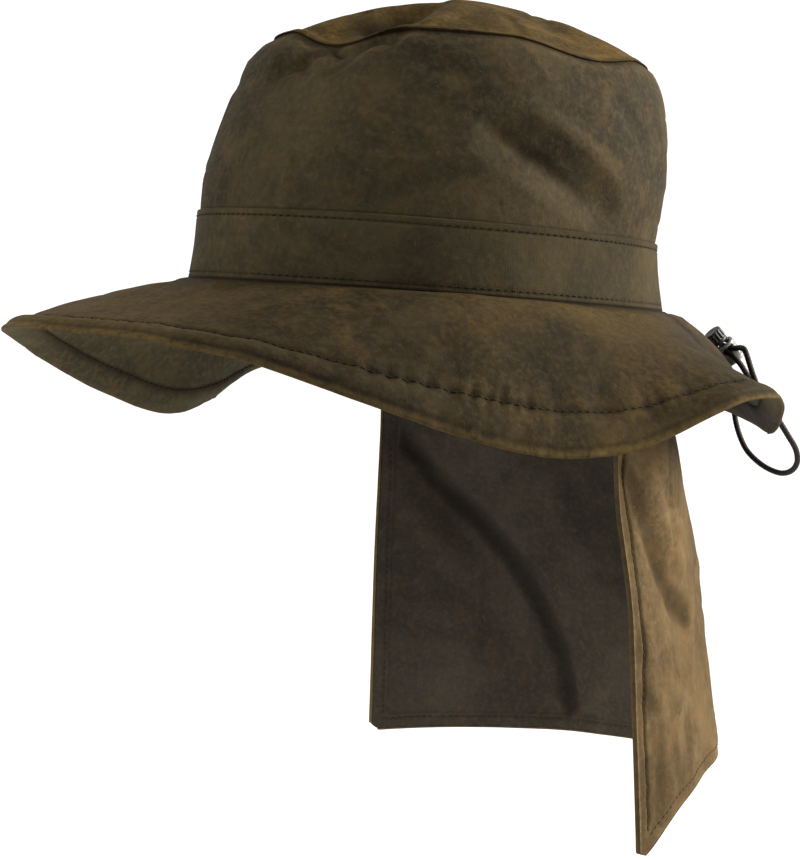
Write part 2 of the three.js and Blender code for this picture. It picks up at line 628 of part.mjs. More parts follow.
function piece(name, geometry, color, roughness) {
  if (!geometry.attributes.normal) geometry.computeVertexNormals();
  const mesh = new THREE.Mesh(geometry, new THREE.MeshStandardMaterial({ color, roughness, metalness: 0 }));
  mesh.name = name;
  return mesh;
}

const WAXED_BROWN = 0x4a3b28;
const WAXED_TAN = 0x6b5435;
const CORD_BROWN = 0x1d1812;
const LOCK_BLACK = 0x232426;

const hat = new THREE.Group();
hat.add(piece('crown_tip', makeCrownTip(), WAXED_BROWN, 0.7));
hat.add(piece('crown_wall', makeCrownWall(), WAXED_BROWN, 0.7));
hat.add(piece('hat_band', makeHatBand(), WAXED_BROWN, 0.7));
hat.add(piece('brim_top', makeBrimTop(), WAXED_BROWN, 0.7));
hat.add(piece('brim_under', makeBrimLayer(-1), WAXED_BROWN, 0.75));
hat.add(piece('neck_flap', makeNeckFlap(), WAXED_TAN, 0.75));
hat.add(piece('drawcord_run', makeDrawcordRun(), CORD_BROWN, 0.8));
const lock = makeLockGroup();
hat.add(piece('drawcord_loop', makeDrawcordLoop(lock), CORD_BROWN, 0.8));
lock.add(piece('cord_lock_body', makeLockBody(), LOCK_BLACK, 0.35));
lock.add(piece('cord_lock_button', makeLockButton(), LOCK_BLACK, 0.5));
hat.add(lock);

export default hat;
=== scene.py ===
# Looks of a waxed canvas hat: crown, band, brim, neck flap, drawcord and cord lock. Metres.
# The origin is the middle of the head opening. +Z is up, the front faces -Y, the wearer's left is +X.
# Shapes are worked out in millimetres, from the same sizes and tables as the frame's solids.
# Angles are degrees round the hat: 0 at the front, 90 at the wearer's left, 180 at the back.
import itertools
import math

import bpy
import numpy as np
from mathutils import Matrix, Vector


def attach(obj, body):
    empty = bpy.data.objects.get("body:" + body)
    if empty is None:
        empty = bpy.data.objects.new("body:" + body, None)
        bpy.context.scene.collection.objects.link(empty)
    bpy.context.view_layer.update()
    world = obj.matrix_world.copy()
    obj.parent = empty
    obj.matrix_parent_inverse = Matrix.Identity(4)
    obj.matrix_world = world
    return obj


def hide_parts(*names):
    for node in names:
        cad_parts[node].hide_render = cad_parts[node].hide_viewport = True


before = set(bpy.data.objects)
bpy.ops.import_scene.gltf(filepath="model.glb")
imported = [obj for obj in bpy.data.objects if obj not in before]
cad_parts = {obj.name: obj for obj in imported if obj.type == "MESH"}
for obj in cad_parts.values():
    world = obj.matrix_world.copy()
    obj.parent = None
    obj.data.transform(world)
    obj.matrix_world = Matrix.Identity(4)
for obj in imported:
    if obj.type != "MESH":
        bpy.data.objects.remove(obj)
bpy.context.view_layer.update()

MM = 0.001

# Sizes shared with the solids
CLOTH, BAND_CLOTH, BRIM_CLOTH, FLAP_CLOTH, GAP = 1.5, 1.2, 1.2, 1.8, 0.3
HALF_LENGTH, HALF_WIDTH = 100.0, 84.0
CROWN_HEIGHT, TIP_RISE, TIP_MARGIN, BAND_HEIGHT = 97.0, 20.0, 1.7, 26.0
BRIM_WIDTH, HEM_WIDTH, SEAT_MARGIN = 74.0, 11.5, 0.5
FLAP_LENGTH, FLAP_TUCK, FLAP_TURN = 197.0, 6.0, 6.0
CORD_DIAMETER, CORD_CLEARANCE = 2.5, 0.3
LOCK_ANGLE, LOCK_SHARE = 160.0, 0.6
BARREL_WALL, BARREL_FLOOR = 1.2, 1.2
BUTTON_TRAVEL, BUTTON_WEB, BUTTON_WALL, BUTTON_CAP, BUTTON_RIBS = 2.5, 1.2, 1.0, 4.4, 14
EYELET_ANGLES = (155.5, 164.5)

FOOT_LENGTH, FOOT_WIDTH = HALF_LENGTH + CLOTH, HALF_WIDTH + CLOTH
HEAD_WIDTH = 2 * HALF_WIDTH
BAND_SHARE = BAND_HEIGHT / CROWN_HEIGHT
TIP_SEAT = CLOTH + TIP_MARGIN
SEAT_WIDTH = CLOTH + GAP + BAND_CLOTH + SEAT_MARGIN
HEM_START = 1 - HEM_WIDTH / BRIM_WIDTH
HEM_MIDDLE = (HEM_START + 1) / 2
HEM_OPENING = CORD_DIAMETER / 2 + CORD_CLEARANCE
BRIM_LEVEL = -GAP - BRIM_CLOTH - GAP / 2
STRAND_PITCH = CORD_DIAMETER + CORD_CLEARANCE
SLOT_WIDTH = CORD_DIAMETER + 2 * CORD_CLEARANCE
SLOT_HEIGHT = STRAND_PITCH + SLOT_WIDTH
STEM_RADIUS = SLOT_HEIGHT / 2 + BUTTON_WALL
BORE_RADIUS = STEM_RADIUS + GAP
BARREL_RADIUS = BORE_RADIUS + BARREL_WALL
SLOT_START = BARREL_FLOOR + GAP + BUTTON_TRAVEL + BUTTON_WEB
BARREL_LENGTH = SLOT_START + SLOT_WIDTH + BARREL_FLOOR
CAP_START = BARREL_LENGTH + BUTTON_TRAVEL + GAP
LOCK_LENGTH = CAP_START + BUTTON_CAP

# Crown profile: height, front, back, side
CROWN_ROWS = np.array([
    (0.00, 1.000, 1.000, 1.000), (0.14, 0.985, 0.960, 0.985), (0.27, 0.978, 0.945, 0.980),
    (0.45, 0.965, 0.980, 0.990), (0.65, 0.912, 0.990, 0.985), (0.82, 0.845, 0.965, 0.950),
    (0.93, 0.780, 0.925, 0.900), (1.00, 0.700, 0.870, 0.835)])
# Dips of the seam between wall and top panel: angle, half, dip
RIM_DIPS = [(14, 22, 0.070), (92, 26, 0.045), (-70, 30, 0.030)]
# Dents in the wall: from angle and height, to angle and height, half, depth
WALL_DENTS = [(67, 0.60, 97, 0.38, 0.075, 0.022), (2, 0.86, 34, 0.95, 0.050, 0.020),
              (205, 0.50, 250, 0.66, 0.085, 0.018)]
# Dents in the top panel: from right and back, to right and back, half, depth
TIP_DENTS = [(0.42, -0.79, 0.14, -0.44, 0.20, 0.42), (-0.45, 0.20, -0.15, 0.50, 0.30, 0.16)]
# Brim: angle, reach, drop, arch
BRIM_ROWS = np.array([
    (0, 0.93, 0.28, 0.00), (28, 0.94, 0.33, -0.10), (42, 0.83, 0.48, -0.18), (56, 0.70, 0.65, -0.25),
    (70, 0.65, 0.74, -0.25), (84, 0.71, 0.67, -0.18), (100, 0.84, 0.48, 0.00), (128, 0.70, 0.50, 0.00),
    (150, 0.69, 0.60, -0.20), (180, 0.74, 0.50, -0.22)])
# Ruffles: angle, half, lift, pull
RUFFLES = [(104, 24, 0.09, 0.03), (138, 20, -0.03, -0.02), (64, 30, 0.03, 0.03), (-78, 24, -0.05, -0.09)]
# Neck flap: down, span, spread, lean
FLAP_ROWS = np.array([
    (0.00, 72, 1.000, 0.000), (0.03, 72, 1.000, 0.000), (0.12, 73, 1.030, 0.009), (0.32, 73, 1.120, 0.030),
    (0.58, 74, 1.190, 0.057), (1.00, 75, 1.262, 0.100)])
# Length of the flap across its hem: across, length
FLAP_HEM = np.array([
    (-1.00, 1.045), (-0.50, 1.020), (0.00, 0.990), (0.50, 0.945), (0.80, 0.990), (1.00, 1.085)])
# Folds of the flap: from across and down, to across and down, half, depth
FLAP_FOLDS = [(-0.82, 0.36, -0.38, 0.86, 0.110, 0.026), (-0.46, 0.30, -0.10, 0.80, 0.120, -0.016),
              (0.95, 0.36, 0.72, 0.66, 0.085, -0.020), (0.30, 0.55, 0.42, 1.00, 0.120, 0.020)]
# Route of the free cord.
# Steps out of an eyelet: rise, inwards, in cord diameters. The cord ends with the same steps backwards.
EYELET_STEPS = [(0.00, 0.00), (0.60, 0.00), (1.68, 0.29), (2.47, 1.08), (2.76, 2.16)]
# eyelet: number, rise, inwards. brim: angle, share, height in cord diameters.
# lock: side in barrel radii, rise in strand pitches, inwards in barrel radii from the slot.
# edge: angle, beyond the brim's edge and below it, as shares of BRIM_WIDTH.
LOOP_ROUTE = [("eyelet", 0, *step) for step in EYELET_STEPS] + [
    ("brim", 155.4, 0.76, 1.88), ("lock", 2.08, -0.62, -1.12),
    ("lock", 1.93, -0.56, -0.56), ("lock", 1.51, -0.50, -0.15), ("lock", 0.95, -0.50, 0.00),
    ("lock", 0.00, -0.50, 0.00), ("lock", -0.95, -0.50, 0.00), ("lock", -1.80, -0.52, 0.00),
    ("lock", -2.60, -0.66, -0.08), ("lock", -3.34, -0.94, -0.50), ("lock", -3.78, -1.30, -1.26),
    ("brim", 168.8, 0.80, 1.05), ("brim", 169.0, 0.88, 0.82), ("brim", 169.1, 0.955, 0.90),
    ("edge", 169.0, 0.061, 0.018), ("edge", 168.6, 0.073, 0.083), ("edge", 167.3, 0.078, 0.153),
    ("edge", 165.1, 0.082, 0.215), ("edge", 161.9, 0.097, 0.256), ("edge", 158.1, 0.119, 0.275),
    ("edge", 154.3, 0.151, 0.269), ("edge", 150.9, 0.175, 0.227), ("edge", 147.9, 0.176, 0.161),
    ("edge", 145.7, 0.146, 0.089), ("edge", 144.1, 0.090, 0.019), ("brim", 143.2, 0.97, 0.95),
    ("brim", 143.2, 0.89, 0.82), ("brim", 144.4, 0.81, 1.10), ("brim", 146.8, 0.72, 1.90),
    ("lock", 4.50, 0.14, 0.30), ("lock", 3.40, 0.46, 0.30), ("lock", 2.30, 0.52, 0.12),
    ("lock", 1.50, 0.50, 0.00), ("lock", 0.95, 0.50, 0.00), ("lock", 0.00, 0.50, 0.00),
    ("lock", -0.95, 0.50, 0.00), ("lock", -1.51, 0.49, -0.15), ("lock", -1.93, 0.38, -0.56),
    ("lock", -2.07, 0.14, -1.12), ("brim", 164.5, 0.76, 1.94)
] + [("eyelet", 1, *step) for step in reversed(EYELET_STEPS)]

# Creases of the wall, guessed where the photograph doesn't show it: from angle and height,
# to angle and height, half, depth in mm
WALL_CREASES = [
    (60, 0.66, 92, 0.40, 4.5, 1.5), (72, 0.74, 100, 0.52, 5.0, -1.1), (2, 0.84, 16, 0.99, 3.5, 1.6),
    (18, 0.80, 30, 0.97, 4.0, 1.2), (36, 0.92, 58, 0.80, 6.0, 0.9), (-40, 0.90, -18, 0.72, 6.0, 0.9),
    (40, 0.34, 66, 0.46, 6.0, 0.7), (96, 0.86, 112, 0.62, 6.0, 1.0), (-6, 0.62, 20, 0.50, 7.0, 0.6),
    (150, 0.82, 176, 0.55, 7.0, 1.1), (205, 0.52, 238, 0.72, 7.0, 1.3), (262, 0.44, 290, 0.78, 8.0, 1.1),
    (120, 0.40, 140, 0.70, 6.0, 0.8), (14, 1.00, 21, 0.91, 2.6, 2.8), (23, 0.96, 35, 0.96, 3.0, 1.4),
    (23, 0.895, 36, 0.915, 3.6, -1.9), (36, 0.915, 40, 0.98, 3.4, -1.5), (-1, 0.97, 10, 0.925, 3.2, -1.5),
    (10, 0.925, 22, 0.895, 3.2, -1.5), (3, 0.90, 14, 0.86, 3.6, 1.2)]
# Creases of the top panel: from right and back, to right and back, half, depth in mm
TIP_CREASES = [
    (0.50, -0.84, 0.30, -0.55, 0.07, 2.6), (0.30, -0.66, 0.02, -0.50, 0.10, 2.0),
    (0.62, -0.66, 0.46, -0.36, 0.08, -1.3), (0.10, -0.86, -0.05, -0.62, 0.06, 1.2),
    (0.70, 0.05, 0.35, 0.20, 0.12, 1.2), (-0.5, -0.4, -0.2, -0.1, 0.14, 1.6),
    (-0.1, 0.7, 0.25, 0.45, 0.12, 1.4), (0.86, -0.30, 0.60, -0.20, 0.06, 1.0),
    (0.20, -0.20, 0.45, 0.05, 0.10, -1.0)]
# Creases of the flap: places across and down, half, depth in mm
FLAP_CREASES = [
    (((-0.90, 0.33), (-0.80, 0.41), (-0.66, 0.50), (-0.55, 0.59), (-0.46, 0.70), (-0.39, 0.82),
      (-0.36, 0.94)), 0.042, 2.8),
    (((-0.98, 0.40), (-0.70, 0.62)), 0.07, -1.6), (((-0.40, 0.40), (-0.22, 0.66)), 0.08, -1.6),
    (((0.97, 0.30), (0.91, 0.40), (0.84, 0.51), (0.76, 0.60), (0.64, 0.66)), 0.045, -2.3),
    (((0.86, 0.34), (0.78, 0.46), (0.68, 0.54)), 0.045, 1.8), (((0.40, 0.74), (0.26, 0.96)), 0.05, -2.2),
    (((0.95, 0.62), (0.90, 0.78), (0.86, 0.95)), 0.05, 1.6), (((0.30, 0.38), (0.17, 0.70)), 0.06, -2.2),
    (((0.10, 0.30), (0.22, 0.50)), 0.05, 1.4)]


def cubic_through(places, values, place):
    """Smooth value through the rows of a table, by cubics that pass through every row"""
    i = np.clip(np.searchsorted(places, place, side="right") - 1, 1, len(places) - 3)
    span = places[i + 1] - places[i]
    t = (place - places[i]) / span
    start = span * (values[i + 1] - values[i - 1]) / (places[i + 1] - places[i - 1])
    end = span * (values[i + 2] - values[i]) / (places[i + 2] - places[i])
    return ((2 * t**3 - 3 * t**2 + 1) * values[i] + (t**3 - 2 * t**2 + t) * start
            + (3 * t**2 - 2 * t**3) * values[i + 1] + (t**3 - t**2) * end)


def along(rows, column, place):
    a, v = rows[:, 0], rows[:, column]
    a = np.r_[2 * a[0] - a[1], a, 2 * a[-1] - a[-2]]
    v = np.r_[2 * v[0] - v[1], v, 2 * v[-1] - v[-2]]
    return cubic_through(a, v, np.asarray(place, float))


def around(rows, column, degrees):
    a, v = rows[:, 0], rows[:, column]
    a = np.r_[-a[1], a, 360 - a[-2]]
    v = np.r_[v[1], v, v[-2]]
    return cubic_through(a, v, np.abs(from_angle(degrees, 0)))


def from_angle(degrees, centre):
    return (np.asarray(degrees, float) - centre + 180) % 360 - 180


def hump(distance):
    """1 in the middle, falling smoothly to 0 at a distance of 1 either side"""
    return np.maximum(0, 1 - np.asarray(distance) ** 2) ** 2


def line_distance(x, y, ax, ay, bx, by):
    """Distance from the line between two places, and the share of the way along it"""
    lx, ly = bx - ax, by - ay
    share = np.clip(((x - ax) * lx + (y - ay) * ly) / (lx * lx + ly * ly), 0, 1)
    return np.hypot(x - ax - share * lx, y - ay - share * ly), share


def path_distance(x, y, places):
    """Distance from a line through several places"""
    return np.min([line_distance(x, y, *p, *q)[0] for p, q in zip(places[:-1], places[1:])], axis=0)


def smooth_step(value):
    t = np.clip(value, 0, 1)
    return t * t * (3 - 2 * t)


def unit(v):
    return v / np.maximum(np.linalg.norm(v, axis=-1, keepdims=True), 1e-12)


def cell_value(ix, iy, iz, seed):
    """Repeatable number from -1 to 1 for each cell of a lattice"""
    n = (ix.astype(np.int64) * 73856093) ^ (iy.astype(np.int64) * 19349663) ^ (iz.astype(np.int64) * 83492791)
    n = (n ^ (seed * 2654435761)) & 0xFFFFFFFF
    n = ((n ^ (n >> 16)) * 0x45D9F3B) & 0xFFFFFFFF
    n = ((n ^ (n >> 16)) * 0x45D9F3B) & 0xFFFFFFFF
    return ((n ^ (n >> 16)) & 0xFFFF) / 32767.5 - 1


def noise(points, size, seed):
    """Smooth noise from -1 to 1 whose lumps are about size across; size may differ along X, Y and Z"""
    places = points / np.asarray(size, float)
    cell = np.floor(places)
    part = places - cell
    part = part * part * part * (part * (part * 6 - 15) + 10)
    cell = cell.astype(np.int64)
    total = 0
    for corner in itertools.product((0, 1), repeat=3):
        weight = 1
        for k, step in enumerate(corner):
            weight = weight * (part[..., k] if step else 1 - part[..., k])
        total = total + weight * cell_value(*(cell[..., k] + step for k, step in enumerate(corner)), seed)
    return total


def creases(points, size, seed, sharpness=7.0):
    """Thin wandering ridges, 0 to 1, as waxed cloth keeps them"""
    bent = points + 0.35 * np.max(size) * np.stack([
        noise(points, np.max(size), seed + 1), noise(points, np.max(size), seed + 2),
        noise(points, np.max(size), seed + 3)], -1)
    return np.exp(-sharpness * np.abs(noise(bent, size, seed)) * 2)


def outward(degrees):
    t = np.radians(degrees)
    return unit(np.stack([np.sin(t) / HALF_WIDTH, -np.cos(t) / HALF_LENGTH, 0 * t], -1))


def rim_dip(degrees):
    return sum(dip * CROWN_HEIGHT * hump(from_angle(degrees, a) / half) for a, half, dip in RIM_DIPS)


def wall_dent(degrees, height):
    arc = HALF_WIDTH * math.radians(1)
    total = 0
    for a0, h0, a1, h1, half, depth in WALL_DENTS:
        x = (a0 + from_angle(degrees, a0)) * arc
        distance, _ = line_distance(x, height * CROWN_HEIGHT, a0 * arc, h0 * CROWN_HEIGHT, a1 * arc,
                                    h1 * CROWN_HEIGHT)
        total = total + depth * HEAD_WIDTH * hump(distance / (half * HEAD_WIDTH))
    return total


def crown_section(height):
    front = along(CROWN_ROWS, 1, height) * FOOT_LENGTH
    back = along(CROWN_ROWS, 2, height) * FOOT_LENGTH
    return (front + back) / 2, along(CROWN_ROWS, 3, height) * FOOT_WIDTH, (back - front) / 2


def crown_point(degrees, height, out):
    degrees, height = np.broadcast_arrays(np.asarray(degrees, float), np.asarray(height, float))
    t = np.radians(degrees)
    length, side, middle = crown_section(height)
    push = out - wall_dent(degrees, height)
    return np.stack([(side + push) * np.sin(t), middle - (length + push) * np.cos(t),
                     CROWN_HEIGHT * height - rim_dip(degrees) * height**4], -1)


def tip_point(degrees, share, above):
    degrees, share = np.broadcast_arrays(np.asarray(degrees, float), np.asarray(share, float))
    t = np.radians(degrees)
    length, side, middle = crown_section(np.array(1.0))
    seat = 1 - TIP_SEAT / min(side, length)
    dome = 1 - np.minimum(1, share / seat) ** 2
    x, y = share * np.sin(t), -share * np.cos(t)
    dent = 0
    for x0, y0, x1, y1, half, depth in TIP_DENTS:
        dent = dent + depth * hump(line_distance(x, y, x0, y0, x1, y1)[0] / half)
    rise = dome - dent * np.minimum(1, 3 * dome)
    return np.stack([side * x, middle + length * y,
                     CROWN_HEIGHT + GAP - rim_dip(degrees) * (1 - dome) + TIP_RISE * rise + above], -1)


def brim_point(degrees, share):
    degrees, share = np.broadcast_arrays(np.asarray(degrees, float), np.asarray(share, float))
    t = np.radians(degrees)
    reach, drop = around(BRIM_ROWS, 1, degrees), around(BRIM_ROWS, 2, degrees)
    arch = around(BRIM_ROWS, 3, degrees)
    for a, half, lift, pull in RUFFLES:
        strength = hump(from_angle(degrees, a) / half)
        reach = reach + pull * strength
        drop = drop - lift * strength
    free = np.maximum(0, share)
    distance = SEAT_WIDTH * (1 + np.minimum(0, share)) + reach * BRIM_WIDTH * free
    fall = drop * BRIM_WIDTH * (free + 4 * arch * free * (1 - free))
    place = np.stack([HALF_WIDTH * np.sin(t), -HALF_LENGTH * np.cos(t), BRIM_LEVEL - fall], -1)
    return place + outward(degrees) * distance[..., None]


def brim_frame(degrees, share):
    ahead, behind = np.minimum(1, share + 0.02), np.maximum(-1, share - 0.02)
    slope = unit(brim_point(degrees, ahead) - brim_point(degrees, behind))
    sweep = unit(brim_point(degrees + 1.0, share) - brim_point(degrees - 1.0, share))
    return slope, sweep, unit(np.cross(slope, sweep))


def layer_opening(share):
    in_hem = np.maximum(0, 1 - np.abs(share - HEM_MIDDLE) / (1 - HEM_MIDDLE))
    return GAP / 2 + (HEM_OPENING - GAP / 2) * in_hem


def brim_face(degrees, share, above):
    normal = brim_frame(degrees, share)[2]
    return brim_point(degrees, share) + normal * np.asarray(above, float)[..., None]


def flap_point(across, down, inwards):
    across, down = np.broadcast_arrays(np.asarray(across, float), np.asarray(down, float))
    free = np.maximum(0, down)
    degrees = 180 - FLAP_TURN - across * along(FLAP_ROWS, 1, free)
    t = np.radians(degrees)
    spread, lean = along(FLAP_ROWS, 2, free), along(FLAP_ROWS, 3, free) * FLAP_LENGTH
    fold = 0
    for a0, d0, a1, d1, half, depth in FLAP_FOLDS:
        fold = fold + depth * FLAP_LENGTH * hump(line_distance(across, free, a0, d0, a1, d1)[0] / (2 * half))
    hanging = np.stack([
        ((HALF_WIDTH - GAP) * spread + fold - inwards) * np.sin(t),
        -((HALF_LENGTH - GAP) * spread + fold - inwards) * np.cos(t) + lean,
        -free * FLAP_LENGTH * along(FLAP_HEM, 1, across)], -1)
    tucked = crown_point(degrees, np.maximum(0, -down) * FLAP_TUCK / CROWN_HEIGHT, -CLOTH - GAP - inwards)
    return np.where((down < 0)[..., None], tucked, hanging)


def lock_frame():
    slope, _, normal = brim_frame(np.array(LOCK_ANGLE), np.array(LOCK_SHARE))
    inwards = -slope
    rise = layer_opening(LOCK_SHARE) + BRIM_CLOTH + GAP + BARREL_RADIUS
    origin = brim_face(np.array(LOCK_ANGLE), np.array(LOCK_SHARE), rise) - inwards * LOCK_LENGTH / 2
    return origin, np.cross(normal, inwards), normal, inwards


def grid_normals(points, wraps):
    """Normals of a grid of points, rows by columns, where the columns may close on themselves"""
    if wraps:
        across = np.roll(points, -1, 1) - np.roll(points, 1, 1)
    else:
        across = np.gradient(points, axis=1)
    return unit(np.cross(np.gradient(points, axis=0), across))


def set_mesh(name, points, faces, uv=None, masks=None):
    """Mesh object from points in millimetres, with a UV in millimetres of cloth and named masks"""
    mesh = bpy.data.meshes.new(name)
    mesh.from_pydata([tuple(p) for p in (points * MM).tolist()], [], faces)
    mesh.validate()
    if uv is not None:
        corner = np.empty(len(mesh.loops), np.int64)
        mesh.loops.foreach_get("vertex_index", corner)
        layer = mesh.uv_layers.new(name="cloth")
        layer.data.foreach_set("uv", (uv[corner] * 0.01).ravel())
    for key, values in (masks or {}).items():
        attribute = mesh.attributes.new(key, "FLOAT", "POINT")
        attribute.data.foreach_set("value", np.ascontiguousarray(values, dtype=np.float32))
    mesh.polygons.foreach_set("use_smooth", np.ones(len(mesh.polygons), bool))
    item = bpy.data.objects.new(name, mesh)
    bpy.context.collection.objects.link(item)
    return item


def ring_faces(rows, columns, wraps_rows, wraps_columns):
    i = np.arange(rows if wraps_rows else rows - 1)[:, None]
    j = np.arange(columns if wraps_columns else columns - 1)[None, :]
    a = i * columns + j
    b = i * columns + (j + 1) % columns
    c = (i + 1) % rows * columns + (j + 1) % columns
    d = (i + 1) % rows * columns + j
    return np.stack([a, b, c, d], -1).reshape(-1, 4)


def faces_inwards(points, faces):
    """Whether the four-sided faces of a closed body enclose a negative volume"""
    a, b, c, d = (points[faces[:, k]] for k in range(4))
    return (a * np.cross(b, c)).sum() + (a * np.cross(c, d)).sum() < 0


def cloth_ring(name, loop, uv, masks):
    """Closed cloth ring from its cross-sections: rows go round the cloth, columns round the hat"""
    rows, columns = loop.shape[:2]
    points = loop.reshape(-1, 3)
    faces = ring_faces(rows, columns, True, True)
    if faces_inwards(points, faces):
        faces = faces[:, ::-1]
    return set_mesh(name, points, faces.tolist(), uv.reshape(-1, 2),
                    {k: v.reshape(-1) for k, v in masks.items()})


def arc_lengths(points, axis):
    step = np.linalg.norm(np.diff(points, axis=axis), axis=-1)
    pad = [(0, 0)] * step.ndim
    pad[axis] = (1, 0)
    return np.pad(np.cumsum(step, axis=axis), pad)


# Materials: cloth, thread, cord and plastic

class Nodes:
    """Short way to lay out a material's nodes"""

    def __init__(self, name):
        self.material = bpy.data.materials.new(name)
        self.material.use_nodes = True
        self.tree = self.material.node_tree
        self.shader = self.tree.nodes["Principled BSDF"]

    def add(self, kind, inputs=None, **settings):
        node = self.tree.nodes.new(kind)
        for key, value in settings.items():
            setattr(node, key, value)
        for key, value in (inputs or {}).items():
            if isinstance(value, bpy.types.NodeSocket):
                self.tree.links.new(value, node.inputs[key])
            else:
                node.inputs[key].default_value = value
        return node

    def link(self, socket, key):
        self.tree.links.new(socket, self.shader.inputs[key])

    def noise(self, vector, scale, detail=3.0, roughness=0.55, distortion=0.0):
        inputs = {"Vector": vector, "Scale": scale, "Detail": detail, "Roughness": roughness,
                  "Distortion": distortion}
        return self.add("ShaderNodeTexNoise", inputs).outputs["Fac"]

    def ramp(self, factor, low, high):
        return self.add("ShaderNodeMapRange", {"Value": factor, "From Min": low, "From Max": high},
                        interpolation_type="SMOOTHSTEP").outputs["Result"]

    def math(self, operation, a, b):
        return self.add("ShaderNodeMath", {0: a, 1: b}, operation=operation).outputs[0]

    def mix(self, factor, a, b):
        node = self.add("ShaderNodeMix", data_type="RGBA")
        for index, value in ((0, factor), (6, a), (7, b)):
            if isinstance(value, bpy.types.NodeSocket):
                self.tree.links.new(value, node.inputs[index])
            else:
                node.inputs[index].default_value = value
        return node.outputs[2]

    def mask(self, name):
        return self.add("ShaderNodeAttribute", attribute_name=name).outputs["Fac"]


def colour(tint, factor=1.0):
    return (*(channel * factor for channel in tint), 1.0)


RUST_SHIFT = (1.35, 1.05, 0.80)


def waxed_cloth(name, dark, middle, light, rubbed, patches, mottle):
    """Waxed cotton: cloudy patches of wax, rubbed edges, painted shade in seams, grooves and hollows, a fine
    weave and small flecks
    """
    n = Nodes(name)
    place = n.add("ShaderNodeTexCoord").outputs["Object"]
    shifted = n.add("ShaderNodeVectorMath", {0: place, 1: (0.37, 0.21, 0.53)}, operation="ADD").outputs[0]
    cloth = n.add("ShaderNodeUVMap", uv_map="cloth").outputs["UV"]
    cloud = n.noise(place, 15.0, 6.0, 0.66, 0.5)
    grain = n.noise(place, 420.0, 3.0, 0.6)
    rust = [channel * factor for channel, factor in zip(middle, RUST_SHIFT)]
    # Marks from large to small: pattern, where it starts and is full, strength, colour
    marks = [
        (n.noise(shifted, 42.0, 5.0, 0.66, 0.4), 0.50, 0.70, patches, colour(light)),
        (n.noise(shifted, 95.0, 4.0, 0.7, 0.6), 0.50, 0.68, 0.25 + mottle, colour(rust)),
        (n.noise(shifted, 11.0, 6.0, 0.7, 0.9), 0.52, 0.66, 0.42, colour(dark, 0.8)),
        (grain, 0.42, 0.72, mottle * 1.2, colour(middle, 1.8)),
        (n.noise(shifted, 330.0, 4.0, 0.75), 0.50, 0.68, mottle, colour(dark, 0.55)),
        (n.noise(place, 820.0, 1.0, 0.5), 0.73, 0.82, 0.35, colour(light, 2.4))]
    base = n.mix(n.ramp(cloud, 0.40, 0.62), colour(dark), colour(middle))
    for pattern, start, full, strength, tint in marks:
        base = n.mix(n.math("MULTIPLY", n.ramp(pattern, start, full), strength), base, tint)
    base = n.mix(n.math("MULTIPLY", n.mask("wear"), n.ramp(grain, 0.15, 0.6)), base, colour(rubbed))
    # Painted shade: the mask darkens the cloth in grooves, dents, seams and where parts meet
    base = n.mix(n.mask("painted_shade"), base, colour(dark, 0.3))
    n.link(base, "Base Color")
    thread = []
    for direction in ("X", "Y"):
        wave = n.add("ShaderNodeTexWave", {"Vector": cloth, "Scale": 50.0, "Distortion": 0.9, "Detail": 1.0,
                                           "Detail Scale": 2.0}, bands_direction=direction)
        thread.append(wave.outputs["Fac"])
    weave = n.math("MAXIMUM", thread[0], thread[1])
    crackle = n.noise(place, 170.0, 5.0, 0.7, 0.8)
    height = n.math("ADD", n.math("MULTIPLY", weave, 0.18),
                    n.math("ADD", n.math("MULTIPLY", grain, 0.50), n.math("MULTIPLY", crackle, 1.3)))
    bump = n.add("ShaderNodeBump", {"Strength": 0.60, "Distance": 0.0004, "Height": height})
    n.link(bump.outputs["Normal"], "Normal")
    gloss = n.add("ShaderNodeMapRange", {"Value": cloud, "From Min": 0.3, "From Max": 0.7, "To Min": 0.68,
                                         "To Max": 0.86})
    n.link(gloss.outputs["Result"], "Roughness")
    n.shader.inputs["Specular IOR Level"].default_value = 0.03
    return n.material


def thread_material(name, base, light, specular):
    n = Nodes(name)
    place = n.add("ShaderNodeTexCoord").outputs["Object"]
    fuzz = n.noise(place, 1400.0, 2.0)
    n.link(n.mix(n.ramp(fuzz, 0.3, 0.7), colour(base), colour(light)), "Base Color")
    bump = n.add("ShaderNodeBump", {"Strength": 0.5, "Distance": 0.0001, "Height": fuzz})
    n.link(bump.outputs["Normal"], "Normal")
    n.shader.inputs["Roughness"].default_value = 0.7
    n.shader.inputs["Specular IOR Level"].default_value = specular
    return n.material


def plastic(name, base, light, roughness, coat):
    n = Nodes(name)
    place = n.add("ShaderNodeTexCoord").outputs["Object"]
    cloud = n.noise(place, 260.0, 3.0)
    n.link(n.mix(n.ramp(cloud, 0.35, 0.7), colour(base), colour(light)), "Base Color")
    gloss = n.add("ShaderNodeMapRange",
                  {"Value": cloud, "To Min": roughness * 0.85, "To Max": roughness * 1.2})
    n.link(gloss.outputs["Result"], "Roughness")
    grain = n.noise(place, 2600.0, 2.0)
    bump = n.add("ShaderNodeBump", {"Strength": 0.25, "Distance": 0.0001, "Height": grain})
    n.link(bump.outputs["Normal"], "Normal")
    n.shader.inputs["Coat Weight"].default_value = coat
    n.shader.inputs["Coat Roughness"].default_value = 0.15
    return n.material


